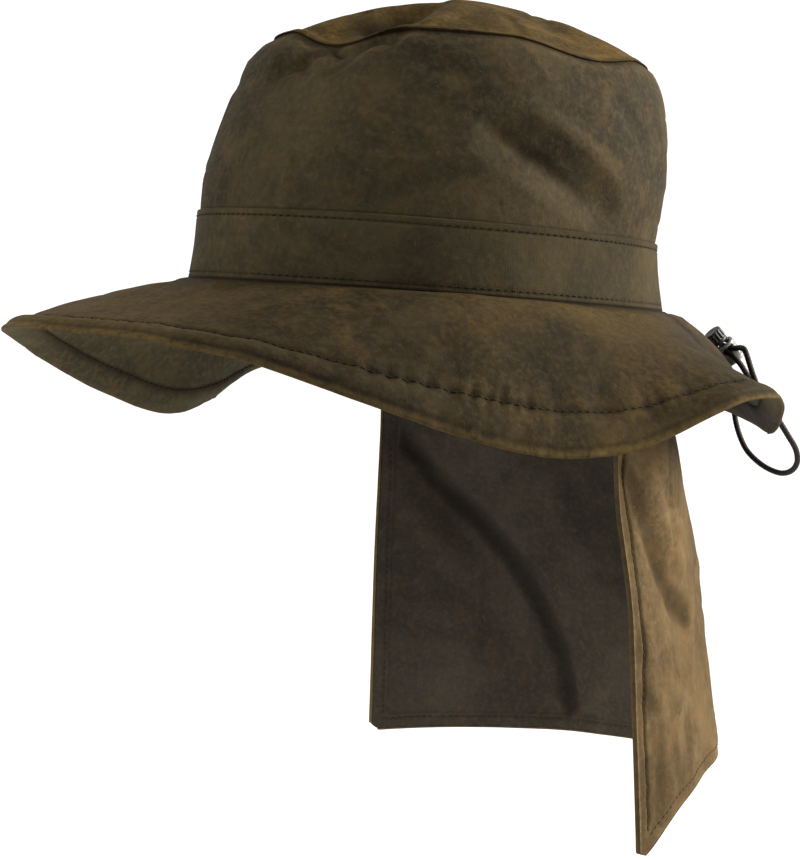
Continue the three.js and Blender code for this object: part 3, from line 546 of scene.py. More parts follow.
WAXED = waxed_cloth("waxed_canvas", (0.0205, 0.0172, 0.0110), (0.0390, 0.0312, 0.0182),
                    (0.0650, 0.0465, 0.0225), (0.098, 0.069, 0.034), 0.55, 0.28)
BAND_WAXED = waxed_cloth("waxed_canvas_band", (0.0270, 0.0225, 0.0135), (0.0470, 0.0385, 0.0220),
                         (0.0650, 0.0485, 0.0240), (0.098, 0.069, 0.034), 0.4, 0.18)
# The top panel's cloth is lighter and more ochre than the wall's: partly its own colour, partly painted light
# falling on the top
TIP_WAXED_WITH_PAINTED_LIGHT = waxed_cloth("waxed_canvas_top_with_painted_light", (0.0270, 0.0195, 0.0078), (0.0560, 0.0385, 0.0135),
                        (0.0950, 0.0605, 0.0185), (0.125, 0.082, 0.032), 0.7, 0.32)
BRIM_WAXED = waxed_cloth("waxed_canvas_brim", (0.0152, 0.0122, 0.0075), (0.0318, 0.0243, 0.0132),
                         (0.0610, 0.0415, 0.0175), (0.125, 0.084, 0.027), 0.6, 0.28)
# The brim's underside cloth is lighter than its top cloth: partly its own colour, partly painted light
# bouncing up under the brim
UNDER_WAXED_WITH_PAINTED_LIGHT = waxed_cloth("waxed_canvas_under_with_painted_light", (0.048, 0.0405, 0.0240), (0.082, 0.0670, 0.0375),
                          (0.106, 0.0790, 0.0390), (0.130, 0.092, 0.046), 0.5, 0.22)
LINING = waxed_cloth("waxed_canvas_inside", (0.040, 0.0335, 0.0255), (0.058, 0.0485, 0.0365),
                     (0.077, 0.0610, 0.0400), (0.090, 0.067, 0.040), 0.4, 0.2)
FLAP_WAXED = waxed_cloth("waxed_canvas_flap", (0.050, 0.0350, 0.0175), (0.092, 0.0640, 0.0325),
                         (0.136, 0.0940, 0.0480), (0.165, 0.116, 0.060), 0.6, 0.12)
THREAD = thread_material("sewing_thread", (0.015, 0.0118, 0.0075), (0.032, 0.0245, 0.0145), 0.04)
FLAP_THREAD = thread_material("flap_thread", (0.040, 0.0290, 0.0160), (0.075, 0.0540, 0.0290), 0.04)
CORD = thread_material("braided_cord", (0.007, 0.0055, 0.0045), (0.022, 0.017, 0.013), 0.2)
BARREL_PLASTIC = plastic("lock_barrel_plastic", (0.110, 0.110, 0.110), (0.180, 0.178, 0.175), 0.36, 0.20)
BUTTON_PLASTIC = plastic("lock_button_plastic", (0.009, 0.009, 0.010), (0.020, 0.020, 0.020), 0.52, 0.0)


def dress(item, materials, pick=None):
    for material in materials:
        item.data.materials.append(material)
    if pick is not None:
        item.data.polygons.foreach_set("material_index", pick)


# Camera at the photograph's angle, with its roll

CAMERA_ANGLE, CAMERA_DISTANCE, CAMERA_HEIGHT = 50.0, 800.0, -10.3
TARGET_SIDE, TARGET_HEIGHT, CAMERA_ROLL = -8.2, -56.4, 4.0
FOCAL_PIXELS, FRAME_HEIGHT, SENSOR = 1948.0, 860.0, 36.0


def make_camera():
    turn = math.radians(CAMERA_ANGLE)
    side = Vector((math.cos(turn), math.sin(turn), 0))
    place = Vector((math.sin(turn) * CAMERA_DISTANCE, -math.cos(turn) * CAMERA_DISTANCE, CAMERA_HEIGHT))
    target = side * TARGET_SIDE
    target.z = TARGET_HEIGHT
    forward = (target - place).normalized()
    right = forward.cross(Vector((0, 0, 1))).normalized()
    up = right.cross(forward)
    roll = math.radians(CAMERA_ROLL)
    rolled_right = right * math.cos(roll) + up * math.sin(roll)
    rolled_up = up * math.cos(roll) - right * math.sin(roll)
    lens = bpy.data.cameras.new("camera")
    lens.sensor_fit = "AUTO"
    lens.sensor_width = SENSOR
    lens.lens = FOCAL_PIXELS / FRAME_HEIGHT * SENSOR
    lens.clip_start = 0.05
    camera = bpy.data.objects.new("camera", lens)
    turned = Matrix((rolled_right, rolled_up, -forward)).transposed()
    camera.matrix_world = Matrix.Translation(place * MM) @ turned.to_4x4()
    bpy.context.collection.objects.link(camera)
    bpy.context.scene.camera = camera


make_camera()


# Drawcord: the free length from one eyelet to the other

def route_point(kind, a, b, c):
    if kind == "eyelet":
        degrees = np.array(EYELET_ANGLES[int(a)])
        slope, _, normal = brim_frame(degrees, np.array(HEM_MIDDLE))
        return brim_point(degrees, HEM_MIDDLE) + normal * b * CORD_DIAMETER - slope * c * CORD_DIAMETER
    if kind == "brim":
        above = layer_opening(b) + BRIM_CLOTH + c * CORD_DIAMETER
        return brim_face(np.array(a), np.array(b), above)
    if kind == "lock":
        origin, side, normal, inwards = lock_frame()
        middle = SLOT_START + SLOT_WIDTH / 2 + c * BARREL_RADIUS
        return origin + side * a * BARREL_RADIUS + normal * b * STRAND_PITCH + inwards * middle
    place = brim_point(np.array(a), 1.0) + outward(np.array(a)) * b * BRIM_WIDTH
    return place - np.array((0, 0, c * BRIM_WIDTH))


def smooth_route(points, spacing):
    """Evenly spaced points on the centripetal curve through the route"""
    p = np.vstack([2 * points[0] - points[1], points, 2 * points[-1] - points[-2]])
    dense = []
    for k in range(1, len(p) - 2):
        d0, d1, d2 = (max(np.linalg.norm(p[k + i] - p[k + i - 1]) ** 0.5, 1e-4) for i in (0, 1, 2))
        start = ((p[k] - p[k - 1]) / d0 - (p[k + 1] - p[k - 1]) / (d0 + d1) + (p[k + 1] - p[k]) / d1) * d1
        end = ((p[k + 1] - p[k]) / d1 - (p[k + 2] - p[k]) / (d1 + d2) + (p[k + 2] - p[k + 1]) / d2) * d1
        t = np.linspace(0, 1, 30, endpoint=k == len(p) - 3)[:, None]
        dense.append(p[k] + start * t + (3 * (p[k + 1] - p[k]) - 2 * start - end) * t**2
                     + (2 * (p[k] - p[k + 1]) + start + end) * t**3)
    dense = np.concatenate(dense)
    run = np.r_[0, np.cumsum(np.linalg.norm(np.diff(dense, axis=0), axis=1))]
    count = int(run[-1] / spacing)
    places = np.linspace(0, run[-1], count)
    return np.stack([np.interp(places, run, dense[:, i]) for i in range(3)], 1), run[-1]


def tube_rings(path, radius, sides):
    """Rings of points round a path, carried along it without twist"""
    ahead = unit(np.gradient(path, axis=0))
    first = unit(np.cross(ahead[0], (0.3, 0.5, 0.8)))
    normals = [first]
    for k in range(1, len(path)):
        n = normals[-1] - ahead[k] * np.dot(normals[-1], ahead[k])
        normals.append(n / np.linalg.norm(n))
    normals = np.array(normals)
    binormals = np.cross(ahead, normals)
    turn = np.arange(sides) * 2 * np.pi / sides
    ring = normals[:, None] * np.cos(turn)[None, :, None] + binormals[:, None] * np.sin(turn)[None, :, None]
    return path[:, None] + ring * radius[..., None]


def tube_faces(rows, sides):
    faces = ring_faces(rows, sides, False, True).tolist()
    faces.append(list(range(sides))[::-1])
    faces.append([(rows - 1) * sides + j for j in range(sides)])
    return faces


CORD_SIDES, CORD_SPACING, BRAID_STRANDS, BRAID_PITCH, BRAID_DEPTH = 20, 0.40, 8, 7.0, 0.13


def make_cord():
    path, length = smooth_route(np.array([route_point(*row) for row in LOOP_ROUTE]), CORD_SPACING)
    run = np.linspace(0, length, len(path))[:, None]
    turn = (np.arange(CORD_SIDES) * 2 * np.pi / CORD_SIDES)[None, :]
    lead = run * 2 * np.pi / BRAID_PITCH
    weave = np.maximum(np.cos(BRAID_STRANDS / 2 * (turn + lead)), np.cos(BRAID_STRANDS / 2 * (turn - lead)))
    radius = CORD_DIAMETER / 2 - BRAID_DEPTH * (1 - weave) / 2
    points = tube_rings(path, radius, CORD_SIDES)
    item = set_mesh("drawcord", points.reshape(-1, 3), tube_faces(len(path), CORD_SIDES))
    dress(item, [CORD])
    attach(item, "hat")
    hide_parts("drawcord_loop")
    return item, path, length


cord, cord_path, cord_length = make_cord()


# Crown

ROUND = 440
EDGE_STEPS = (0.25, 0.5, 0.75)
# Lengths of cloth round the wall, the band and the brim, for the weave
WALL_RUN, BAND_RUN, BRIM_RUN = 570.0, 575.0, 800.0
BAND_STITCHES = (0.93, 0.085)


def soft_folds(points, scale=1.0):
    """Gentle lumps and creases of soft cloth, in millimetres"""
    slow = 0.9 * noise(points, 58.0, 11) + 0.45 * noise(points, 27.0, 12)
    crease = 0.55 * creases(points, (70.0, 70.0, 34.0), 21) - 0.50 * creases(points, (60.0, 60.0, 45.0), 31)
    fine = 0.10 * noise(points, 9.0, 13) + 0.05 * noise(points, 4.0, 14)
    return scale * (slow + crease + fine)


def crown_dents(degrees, height):
    """How far the creases of the wall go inwards, in millimetres"""
    arc = HALF_WIDTH * math.radians(1)
    total = 0
    for a0, h0, a1, h1, half, depth in WALL_CREASES:
        x = (a0 + from_angle(degrees, a0)) * arc
        distance, share = line_distance(x, height * CROWN_HEIGHT, a0 * arc, h0 * CROWN_HEIGHT, a1 * arc,
                                        h1 * CROWN_HEIGHT)
        total = total + depth * hump(distance / half) * (0.35 + 0.65 * np.sin(np.pi * share))
    return total


def closed_loop(outer, inner, round_edges=(True, True)):
    """Cross-sections from the outer and inner faces, with a rounded edge where asked"""
    parts = [outer]
    if round_edges[1]:
        parts.append(edge_arc(outer, inner, -1))
    parts.append(inner[::-1])
    if round_edges[0]:
        parts.append(edge_arc(outer, inner, 0)[::-1])
    return np.concatenate(parts)


def round_edge(outer, middle, away):
    """Rows that carry an outer edge half round the middle of the cloth"""
    half = np.linalg.norm(outer - middle, axis=-1, keepdims=True)
    turns = [share * math.pi for share in EDGE_STEPS]
    return np.stack([middle + (outer - middle) * math.cos(t) + away * half * math.sin(t) for t in turns])


def edge_arc(outer, inner, row):
    """Rows that carry the first or last row of the outer face round to the inner one"""
    before = outer[row - 1] if row == -1 else outer[row + 1]
    return round_edge(outer[row], (outer[row] + inner[row]) / 2, unit(outer[row] - before))


def loop_uv(loop, columns_length):
    rows, columns = loop.shape[:2]
    v = arc_lengths(loop, 0)
    u = np.broadcast_to(np.linspace(0, columns_length, columns)[None, :], (rows, columns))
    return np.stack([u, v], -1)


def cloth_masks(wear, painted_shade, rows):
    """The wear mask and the painted shade mask of an outer face, carried on to its edge and inner rows with
    their last value
    """
    masks = {}
    for name, mask in (("wear", wear), ("painted_shade", painted_shade)):
        mask = np.broadcast_to(np.clip(mask, 0, 1), (mask.shape[0], ROUND))
        masks[name] = np.concatenate([mask, np.repeat(mask[-1:], rows - mask.shape[0], 0)])
    return masks


def away_from_head(degrees, base):
    """Normals of a ring of the crown, turned outwards"""
    normal = grid_normals(base, True)
    return normal * np.sign(np.sum(normal * outward(degrees), -1).mean())


def make_crown_wall():
    degrees = np.arange(ROUND) * 360 / ROUND
    height = np.linspace(0, 1, 96)[:, None]
    base = crown_point(degrees, height, 0)
    normal = away_from_head(degrees, base)
    ease = smooth_step((height - BAND_SHARE * 0.75) / 0.12)
    seam = smooth_step((1 - height) / 0.03)
    push = soft_folds(base) * ease * (0.25 + 0.75 * seam) - crown_dents(degrees, height) * (0.3 + 0.7 * seam)
    push = push - 0.30 * (1 - seam)
    ridge = 0.25 * hump((height - 0.965) / 0.02)
    outer = base + normal * (push + ridge)[..., None]
    thickness = CLOTH * (0.45 + 0.55 * seam)
    inner = base + normal * (np.minimum(0, push) * 0.8 - thickness)[..., None]
    loop = closed_loop(outer, inner)
    wear = 0.20 * hump((height - 0.965) / 0.03) + 0.45 * np.clip(push * 0.35, 0, 0.6)
    # Painted shade along the groove of the top seam, in the dents, and at the band's top edge
    painted_shade = 0.40 * (1 - smooth_step((1 - height) / 0.012)) + 0.40 * np.clip(-push * 0.35, 0, 1)
    painted_shade = painted_shade + 0.5 * hump((height - BAND_SHARE) / 0.018)
    return cloth_ring("crown_wall_cloth", loop, loop_uv(loop, WALL_RUN), cloth_masks(wear, painted_shade, len(loop)))


def make_crown_tip():
    degrees = np.arange(ROUND) * 360 / ROUND
    share = np.r_[0.012, np.linspace(0.03, 0.955, 60), np.linspace(0.962, 1.0, 8)][:, None]
    base = tip_point(degrees, share, CLOTH)
    x, y = share * np.sin(np.radians(degrees)), -share * np.cos(np.radians(degrees))
    press = 0
    for x0, y0, x1, y1, half, depth in TIP_CREASES:
        press = press + depth * hump(line_distance(x, y, x0, y0, x1, y1)[0] / half)
    rim = smooth_step((1 - share) / 0.06)
    edge = smooth_step((share - 0.972) / 0.028)
    pit = hump(line_distance(x, y, 0.20, -0.70, 0.17, -0.52)[0] / 0.19)
    lift = soft_folds(base + 300.0, 1.2) - press - 3.4 * pit
    up = np.array((0, 0, 1.0))
    outer = base + up * (lift * rim - 0.95 * edge)[..., None]
    inner = outer - up * (CLOTH - 0.95 * edge)[..., None]
    loop = closed_loop(outer, inner, (False, True))
    wear = 0.35 * hump((share - 0.955) / 0.03) + np.clip(lift * 0.2, 0, 0.35) * rim
    # Painted shade along the rim's seam, in the hollows, and in the pit of the dent near the front
    painted_shade = 0.35 * (1 - smooth_step((1 - share) / 0.010)) + 0.25 * np.clip(-lift * 0.3, 0, 1) + 0.8 * pit
    count = len(loop)
    points = loop.reshape(-1, 3)
    faces = ring_faces(count, ROUND, False, True)
    if faces_inwards(points, ring_faces(count, ROUND, True, True)):
        faces = faces[:, ::-1]
    top = list(range(ROUND))
    under = [(count - 1) * ROUND + j for j in range(ROUND)]
    faces = faces.tolist() + close_ring(points, top, True) + close_ring(points, under, False)
    masks = {name: mask.reshape(-1) for name, mask in cloth_masks(wear, painted_shade, count).items()}
    return set_mesh("crown_tip_cloth", points, faces, points[:, :2].copy(), masks)


def close_ring(points, ring, faces_up):
    """Strip of faces that closes a ring seen from above"""
    half = len(ring) // 2
    faces = []
    for j in range(half - 1):
        quad = [ring[j], ring[j + 1], ring[len(ring) - 2 - j], ring[len(ring) - 1 - j]]
        faces.append(quad)
    a, b, c = (points[i] for i in faces[len(faces) // 2][:3])
    upward = np.cross(b - a, c - b)[2] > 0
    return faces if upward == faces_up else [f[::-1] for f in faces]


def make_band():
    degrees = np.arange(ROUND) * 360 / ROUND
    share = np.linspace(0, 1, 28)[:, None]
    base = crown_point(degrees, share * BAND_SHARE, GAP + BAND_CLOTH)
    normal = away_from_head(degrees, base)
    lumps = 0.45 * noise(base, 34.0, 41) + 0.22 * noise(base, (14.0, 14.0, 30.0), 42)
    lumps = lumps + 0.06 * noise(base, 4.0, 43)
    groove = 0.30 * sum(hump((share - line) / 0.025) for line in BAND_STITCHES)
    ease = 0.25 + 0.75 * np.sin(np.pi * share)
    push = lumps * ease - groove
    outer = base + normal * push[..., None]
    inner = base - normal * BAND_CLOTH
    loop = closed_loop(outer, inner)
    wear = 0.25 * hump((share - 0.985) / 0.03) + 0.25 * np.clip(push, 0, 1)
    # Painted shade along the stitch grooves, at the band's foot and top edge, and over the side round 100
    # degrees to darken that lit side
    painted_shade = 0.40 * sum(hump((share - line) / 0.03) for line in BAND_STITCHES) + 0.7 * hump(share / 0.03)
    painted_shade = painted_shade + 0.30 * hump((share - 1) / 0.02) + 0.24 * hump(from_angle(degrees, 100) / 55)
    return cloth_ring("hat_band_cloth", loop, loop_uv(loop, BAND_RUN), cloth_masks(wear, painted_shade, len(loop)))


# Brim

HEM_SWELL, HEM_GROOVE, GROOVE_HALF, ROUND_BRIM = 0.80, 0.45, 0.028, 600


def hem_line(degrees):
    """Share of the hem's stitch line. The hem looks narrower at the wearer's right."""
    return HEM_START + 0.055 * hump(from_angle(degrees, -70) / 48)


def brim_relief(degrees, share, points):
    """Lumps, puckers and the stitched groove of one face of the brim, in millimetres"""
    free = smooth_step(share / 0.12)
    lumps = 0.9 * noise(points, 46.0, 51) + 0.5 * noise(points, (22.0, 22.0, 30.0), 52)
    crease = 0.5 * creases(points, (52.0, 52.0, 40.0), 61) - 0.45 * creases(points, (36.0, 36.0, 36.0), 71)
    fine = 0.10 * noise(points, 7.0, 54)
    line = hem_line(degrees)
    near_line = hump((share - line) / 0.15)
    at_line = hump((share - line - 0.01) / 0.105)
    turn = np.radians(degrees)
    gathered = 0.30 + 0.70 * hump(from_angle(degrees, 62) / 62)
    wide = np.sin(52 * turn + 3.0 * noise(points, 38.0, 55)) * (0.8 + noise(points, 70.0, 57))
    tight = np.sin(142 * turn + 5.0 * noise(points, 24.0, 56))
    tight = tight * np.maximum(0, 0.55 + 1.3 * noise(points, 33.0, 58))
    pucker = gathered * (0.34 * near_line * wide + 0.42 * at_line * tight)
    groove = HEM_GROOVE * hump((share - line) / GROOVE_HALF)
    over_cord = 1 - 0.65 * hump((share - HEM_MIDDLE) / 0.07)
    return free * over_cord * (lumps + crease * (1 - 0.5 * near_line) + fine + pucker) - groove


def brim_side(side):
    """Outer face of the brim's upper layer, 1, or lower layer, -1, with its relief and shares"""
    degrees = np.arange(ROUND_BRIM) * 360 / ROUND_BRIM
    share = np.r_[np.linspace(-1, 0, 5)[:-1], np.linspace(0, HEM_START - 0.05, 46)[:-1],
                  np.linspace(HEM_START - 0.05, HEM_START + 0.05, 12)[:-1],
                  np.linspace(HEM_START + 0.05, 1, 14)][:, None]
    in_hem = np.maximum(0, 1 - np.abs(share - HEM_MIDDLE) / (1 - HEM_MIDDLE))
    opening = GAP / 2 + HEM_SWELL * smooth_step(in_hem * 1.1)
    layer = BRIM_CLOTH - 0.55 * smooth_step((share - 0.955) / 0.045)
    middle = brim_point(degrees, share)
    normal = brim_frame(degrees, share)[2]
    base = middle + normal * (side * (opening + layer))[..., None]
    relief = brim_relief(degrees, share, middle)
    groove = HEM_GROOVE * hump((share - hem_line(degrees)) / GROOVE_HALF)
    push = relief + (2 * groove if side < 0 else 0)
    seat = smooth_step((share - 0.02) / 0.06)
    return base + normal * (push * seat)[..., None], relief * side * seat, share, degrees


def make_brim():
    top, top_relief, share, degrees = brim_side(1)
    under, under_relief, _, _ = brim_side(-1)
    loop = closed_loop(top, under)
    edge = hump((share - 1) / 0.018)
    groove = hump((share - hem_line(degrees)) / 0.022)
    arc = np.ones((len(EDGE_STEPS), ROUND_BRIM))
    # The top face is also made lighter towards the wearer's right front, round -25 degrees, away from the
    # crown
    front = hump(from_angle(degrees, -25) / 62) * smooth_step(share / 0.3)
    wear_top = np.clip(0.18 * edge + 0.50 * front + 0.20 * np.clip(top_relief, 0, 1.4), 0, 1)
    wear_under = np.clip(0.40 * edge + 0.10 * np.clip(under_relief, 0, 1), 0, 1)
    hollows = np.clip(-top_relief * 0.6, 0, 1)
    # Painted shade on top: in the stitch groove, along a line near the edge, where the brim meets the band,
    # and in hollows. Underneath: in the stitch groove, a little all over, and more towards the back round 142
    # degrees
    shade_top = 0.28 * groove + 0.35 * hump((share - 0.974) / 0.012) + 0.7 * hump(share / 0.035)
    shade_top = np.clip(shade_top + 0.40 * hollows, 0, 1)
    shade_under = np.clip(0.6 * groove + 0.05 + 0.50 * hump(from_angle(degrees, 142) / 48), 0, 1)
    wear = np.concatenate([wear_top, arc * 0.42, wear_under[::-1], arc * 0])
    painted_shade = np.concatenate([shade_top, arc * 0, shade_under[::-1], arc * 0])
    item = cloth_ring("brim_cloth", loop, loop_uv(loop, BRIM_RUN), {"wear": wear, "painted_shade": painted_shade})
    edge_middle = top.shape[0] + len(EDGE_STEPS) // 2 + 1
    pick = np.zeros(loop.shape[0] * ROUND_BRIM, np.int32)
    pick[edge_middle * ROUND_BRIM:(edge_middle + top.shape[0] + 1) * ROUND_BRIM] = 1
    return item, pick, top, under, share[:, 0]


# Neck flap

FLAP_HEM_WIDTH, FLAP_CORNER, FLAP_STITCH, FLAP_HALF_RUN = 6.5, 4.0, 4.6, 128.0


def flap_places():
    edge = FLAP_HEM_WIDTH / FLAP_HALF_RUN * 1.6
    stitch = 1 - FLAP_STITCH / FLAP_HALF_RUN
    near_edge = np.r_[np.linspace(1 - edge, 1, 20), stitch]
    across = np.unique(np.r_[-near_edge, np.linspace(-1 + edge, 1 - edge, 190), near_edge])
    hem = FLAP_HEM_WIDTH / FLAP_LENGTH * 1.6
    down = np.unique(np.r_[np.linspace(-1, 0, 5), np.linspace(0, 1 - hem, 110), np.linspace(1 - hem, 1, 20),
                           1 - FLAP_STITCH / FLAP_LENGTH])
    return across, down


def flap_faces():
    """Outer and inner faces of the flap, with the hem's step, folds and rounded lower corners"""
    across, down = flap_places()
    a, d = across[None, :], down[:, None]
    from_side = (1 - np.abs(a)) * FLAP_HALF_RUN
    from_foot = (1 - d) * FLAP_LENGTH
    corner_x = np.maximum(0, FLAP_CORNER - from_side)
    corner_y = np.maximum(0, FLAP_CORNER - from_foot)
    reach = np.hypot(corner_x, corner_y)
    pull = np.where(reach > FLAP_CORNER, FLAP_CORNER / np.maximum(reach, 1e-6), 1.0)
    a = np.sign(a) * (1 - np.where(corner_x > 0, FLAP_CORNER - corner_x * pull, from_side) / FLAP_HALF_RUN)
    d = np.where(corner_y > 0, 1 - (FLAP_CORNER - corner_y * pull) / FLAP_LENGTH, d)
    a, d = np.broadcast_arrays(a, d)
    base = flap_point(a, d, 0)
    inner = flap_point(a, d, FLAP_CLOTH)
    normal = unit(base - inner)
    side = (1 - np.abs(a)) * FLAP_HALF_RUN
    foot = (1 - d) * FLAP_LENGTH
    rim = np.minimum(side, foot)
    hem_step = smooth_step((FLAP_HEM_WIDTH + 0.6 - rim) / 1.2)
    groove = hump((rim - FLAP_STITCH) / 1.1)
    upright = smooth_step((foot - side) / 6.0)
    folds = 1.5 * noise(base, (46.0, 46.0, 90.0), 81) + 0.7 * noise(base, (20.0, 20.0, 48.0), 82)
    folds = folds + 0.8 * creases(base, (46.0, 46.0, 80.0), 91) - 0.7 * creases(base, (40.0, 40.0, 60.0), 95)
    valley = 0
    dark = 0
    for places, half, depth in FLAP_CREASES:
        strength = hump(path_distance(a, d, places) / half)
        folds = folds + depth * strength
        valley = np.maximum(valley, strength * (depth > 2.0))
        dark = np.maximum(dark, strength * (depth < -2.0))
    ripple = np.sin((a * FLAP_HALF_RUN + 1.3 * d * FLAP_LENGTH) * 0.42 + 2 * noise(base, 30.0, 84))
    pucker = 0.18 * ripple * hump((rim - FLAP_HEM_WIDTH) / 7.0)
    free = smooth_step(d / 0.10)
    sway = (folds * smooth_step(rim / 16.0 + 0.25) + pucker) * free
    fine = 0.08 * noise(base, 6.0, 83)
    outer = base + normal * (sway + fine - (0.15 + 0.50 * upright) * groove * free)[..., None]
    inside = inner + normal * (sway - 0.45 * hem_step * free + 0.25 * groove * free + 0.2)[..., None]
    wear = np.clip(0.35 * hump(rim / 1.4) + 0.35 * np.clip(sway * 0.5, 0, 1), 0, 1)
    wear_in = np.clip(0.20 * hump(rim / 1.0) + 0.15 * np.clip(-sway * 0.5, 0, 1), 0, 1)
    # Painted shade outside: in the stitch groove, most on the upright sides, in hollows and along the inward
    # creases. Inside: in the groove, where the cloth bows outwards, and along the fold valleys
    painted_shade = np.clip((0.10 + 0.75 * upright) * groove + 0.25 * np.clip(-sway * 0.4, 0, 1) + 0.40 * dark, 0, 1)
    shade_in = np.clip(0.15 * groove + 0.15 * np.clip(sway * 0.4, 0, 1) + 0.48 * valley, 0, 1)
    return outer, inside, wear, wear_in, painted_shade, shade_in


def make_flap():
    outer, inner, wear, wear_in, painted_shade, shade_in = flap_faces()
    rows, columns = outer.shape[:2]
    middle = (outer + inner) / 2
    points = np.concatenate([outer.reshape(-1, 3), inner.reshape(-1, 3)])
    count = rows * columns
    grid = ring_faces(rows, columns, False, False)
    faces = [grid, grid[:, ::-1] + count]
    index = np.arange(count).reshape(rows, columns)
    border = np.concatenate([index[0, :-1], index[:-1, -1], index[-1, :0:-1], index[:0:-1, 0]])
    towards = np.concatenate([index[1, :-1], index[:-1, -2], index[-2, :0:-1], index[:0:-1, 1]])
    flat = middle.reshape(-1, 3)
    arcs = round_edge(outer.reshape(-1, 3)[border], flat[border], unit(flat[border] - flat[towards]))
    size = len(border)
    start = 2 * count
    between = start + np.arange(arcs.shape[0] * size).reshape(-1, size)
    rings = np.concatenate([border[None], between, (border + count)[None]])
    following = np.roll(rings, -1, axis=1)
    rim_faces = np.stack([rings[:-1], rings[1:], following[1:], following[:-1]], -1).reshape(-1, 4)
    points = np.concatenate([points, arcs.reshape(-1, 3)])
    faces = np.concatenate(faces + [rim_faces[:, ::-1]])
    a, b = points[faces[0][0]], points[faces[0][1]]
    if np.dot(np.cross(b - a, points[faces[0][2]] - b), outer[0, 0] - inner[0, 0]) < 0:
        faces = faces[:, ::-1]
    along_run = arc_lengths(outer, 1)
    down_run = arc_lengths(outer, 0)
    uv = np.stack([along_run, down_run], -1).reshape(-1, 2)
    uv = np.concatenate([uv, uv, np.tile(uv[border], (len(EDGE_STEPS), 1))])
    # The rounded edge rows take a little wear and a little painted shade
    masks = {"wear": np.concatenate([wear.reshape(-1), wear_in.reshape(-1), np.full(between.size, 0.3)]),
             "painted_shade": np.concatenate([painted_shade.reshape(-1), shade_in.reshape(-1), np.full(between.size, 0.2)])}
    item = set_mesh("neck_flap_cloth", points, faces.tolist(), uv, masks)
    pick = np.zeros(len(item.data.polygons), np.int32)
    pick[len(grid):2 * len(grid)] = 1
    return item, pick, outer, inner


# Stitches

STITCH_LENGTH, STITCH_PITCH, STITCH_RADIUS, STITCH_SIDES = 2.3, 3.1, 0.19, 6
# One stitch: places along it, and its rise and thickness there
STITCH_PLACES = np.array((0.0, 0.12, 0.5, 0.88, 1.0))
STITCH_RISE = np.array((-0.30, 0.02, 0.12, 0.02, -0.30))
STITCH_SIZE = np.array((0.45, 0.95, 1.0, 0.95, 0.45))


def sew(name, tubes, thread):
    """One object from short tubes of thread, each with the same number of rings and sides"""
    rows, sides = tubes[0].shape[:2]
    pattern = tube_faces(rows, sides)
    faces = [[i + k * rows * sides for i in face] for k in range(len(tubes)) for face in pattern]
    item = set_mesh(name, np.concatenate(tubes).reshape(-1, 3), faces)
    dress(item, [thread])
    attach(item, "hat")
    return item


def stitch_rows(name, lines, thread):
    """Rows of sewn stitches. Each line is a pair: its points, and the direction away from the cloth."""
    turn = np.arange(STITCH_SIDES) * 2 * math.pi / STITCH_SIDES
    tubes = []
    for path, away in lines:
        run = np.r_[0, np.cumsum(np.linalg.norm(np.diff(path, axis=0), axis=1))]
        for start in np.arange(0.5, run[-1] - STITCH_LENGTH, STITCH_PITCH):
            places = start + STITCH_LENGTH * STITCH_PLACES
            centre = np.stack([np.interp(places, run, path[:, i]) for i in range(3)], 1)
            lift = unit(np.stack([np.interp(places, run, away[:, i]) for i in range(3)], 1))
            ahead = unit(np.gradient(centre, axis=0))
            across = unit(np.cross(ahead, lift))
            middle = (centre + lift * STITCH_RISE[:, None])[:, None]
            ring = across[:, None] * np.cos(turn)[:, None] + lift[:, None] * np.sin(turn)[:, None]
            tubes.append(middle + ring * (STITCH_SIZE * STITCH_RADIUS)[:, None, None])
    return sew(name, tubes, thread)


def hem_path(grid, normals, shares, lift):
    """Closed line along the hem's stitches on one face of the brim"""
    line = hem_line(np.arange(ROUND_BRIM) * 360 / ROUND_BRIM)
    row = np.clip(np.searchsorted(shares, line) - 1, 0, len(shares) - 2)
    column = np.arange(ROUND_BRIM)
    blend = ((line - shares[row]) / (shares[row + 1] - shares[row]))[:, None]
    path = grid[row, column] * (1 - blend) + grid[row + 1, column] * blend
    away = unit(normals[row, column] * (1 - blend) + normals[row + 1, column] * blend)
    path, away = np.vstack([path, path[:1]]), np.vstack([away, away[:1]])
    return path + away * lift, away


# Lock

def to_frame(points, axes):
    origin, side, normal, inwards = axes
    return origin + points[..., :1] * side + points[..., 1:2] * normal + points[..., 2:3] * inwards


def lathe(profile, sides, ribs=None):
    """Closed body of revolution along Z from rows of radius and height, its radius shared by ribs"""
    turn = np.arange(sides) * 2 * np.pi / sides
    radius = profile[:, :1] * (1 - (ribs(turn)[None, :] * profile[:, 2:3] if ribs else 0))
    return np.stack([radius * np.cos(turn), radius * np.sin(turn), profile[:, 1:2] + 0 * turn], -1)


def lathe_object(name, profile, sides, axes, ribs=None):
    rings = to_frame(lathe(profile, sides, ribs), axes)
    points = rings.reshape(-1, 3)
    faces = tube_faces(len(profile), sides)
    a, b, c = (points[faces[len(faces) // 2][k]] for k in range(3))
    centre = rings[len(profile) // 2].mean(0)
    if np.dot(np.cross(b - a, c - b), a - centre) < 0:
        faces = [f[::-1] for f in faces]
    return set_mesh(name, points, faces)


SLOT_CORNERS, SLOT_ROUNDING = 24, 0.6


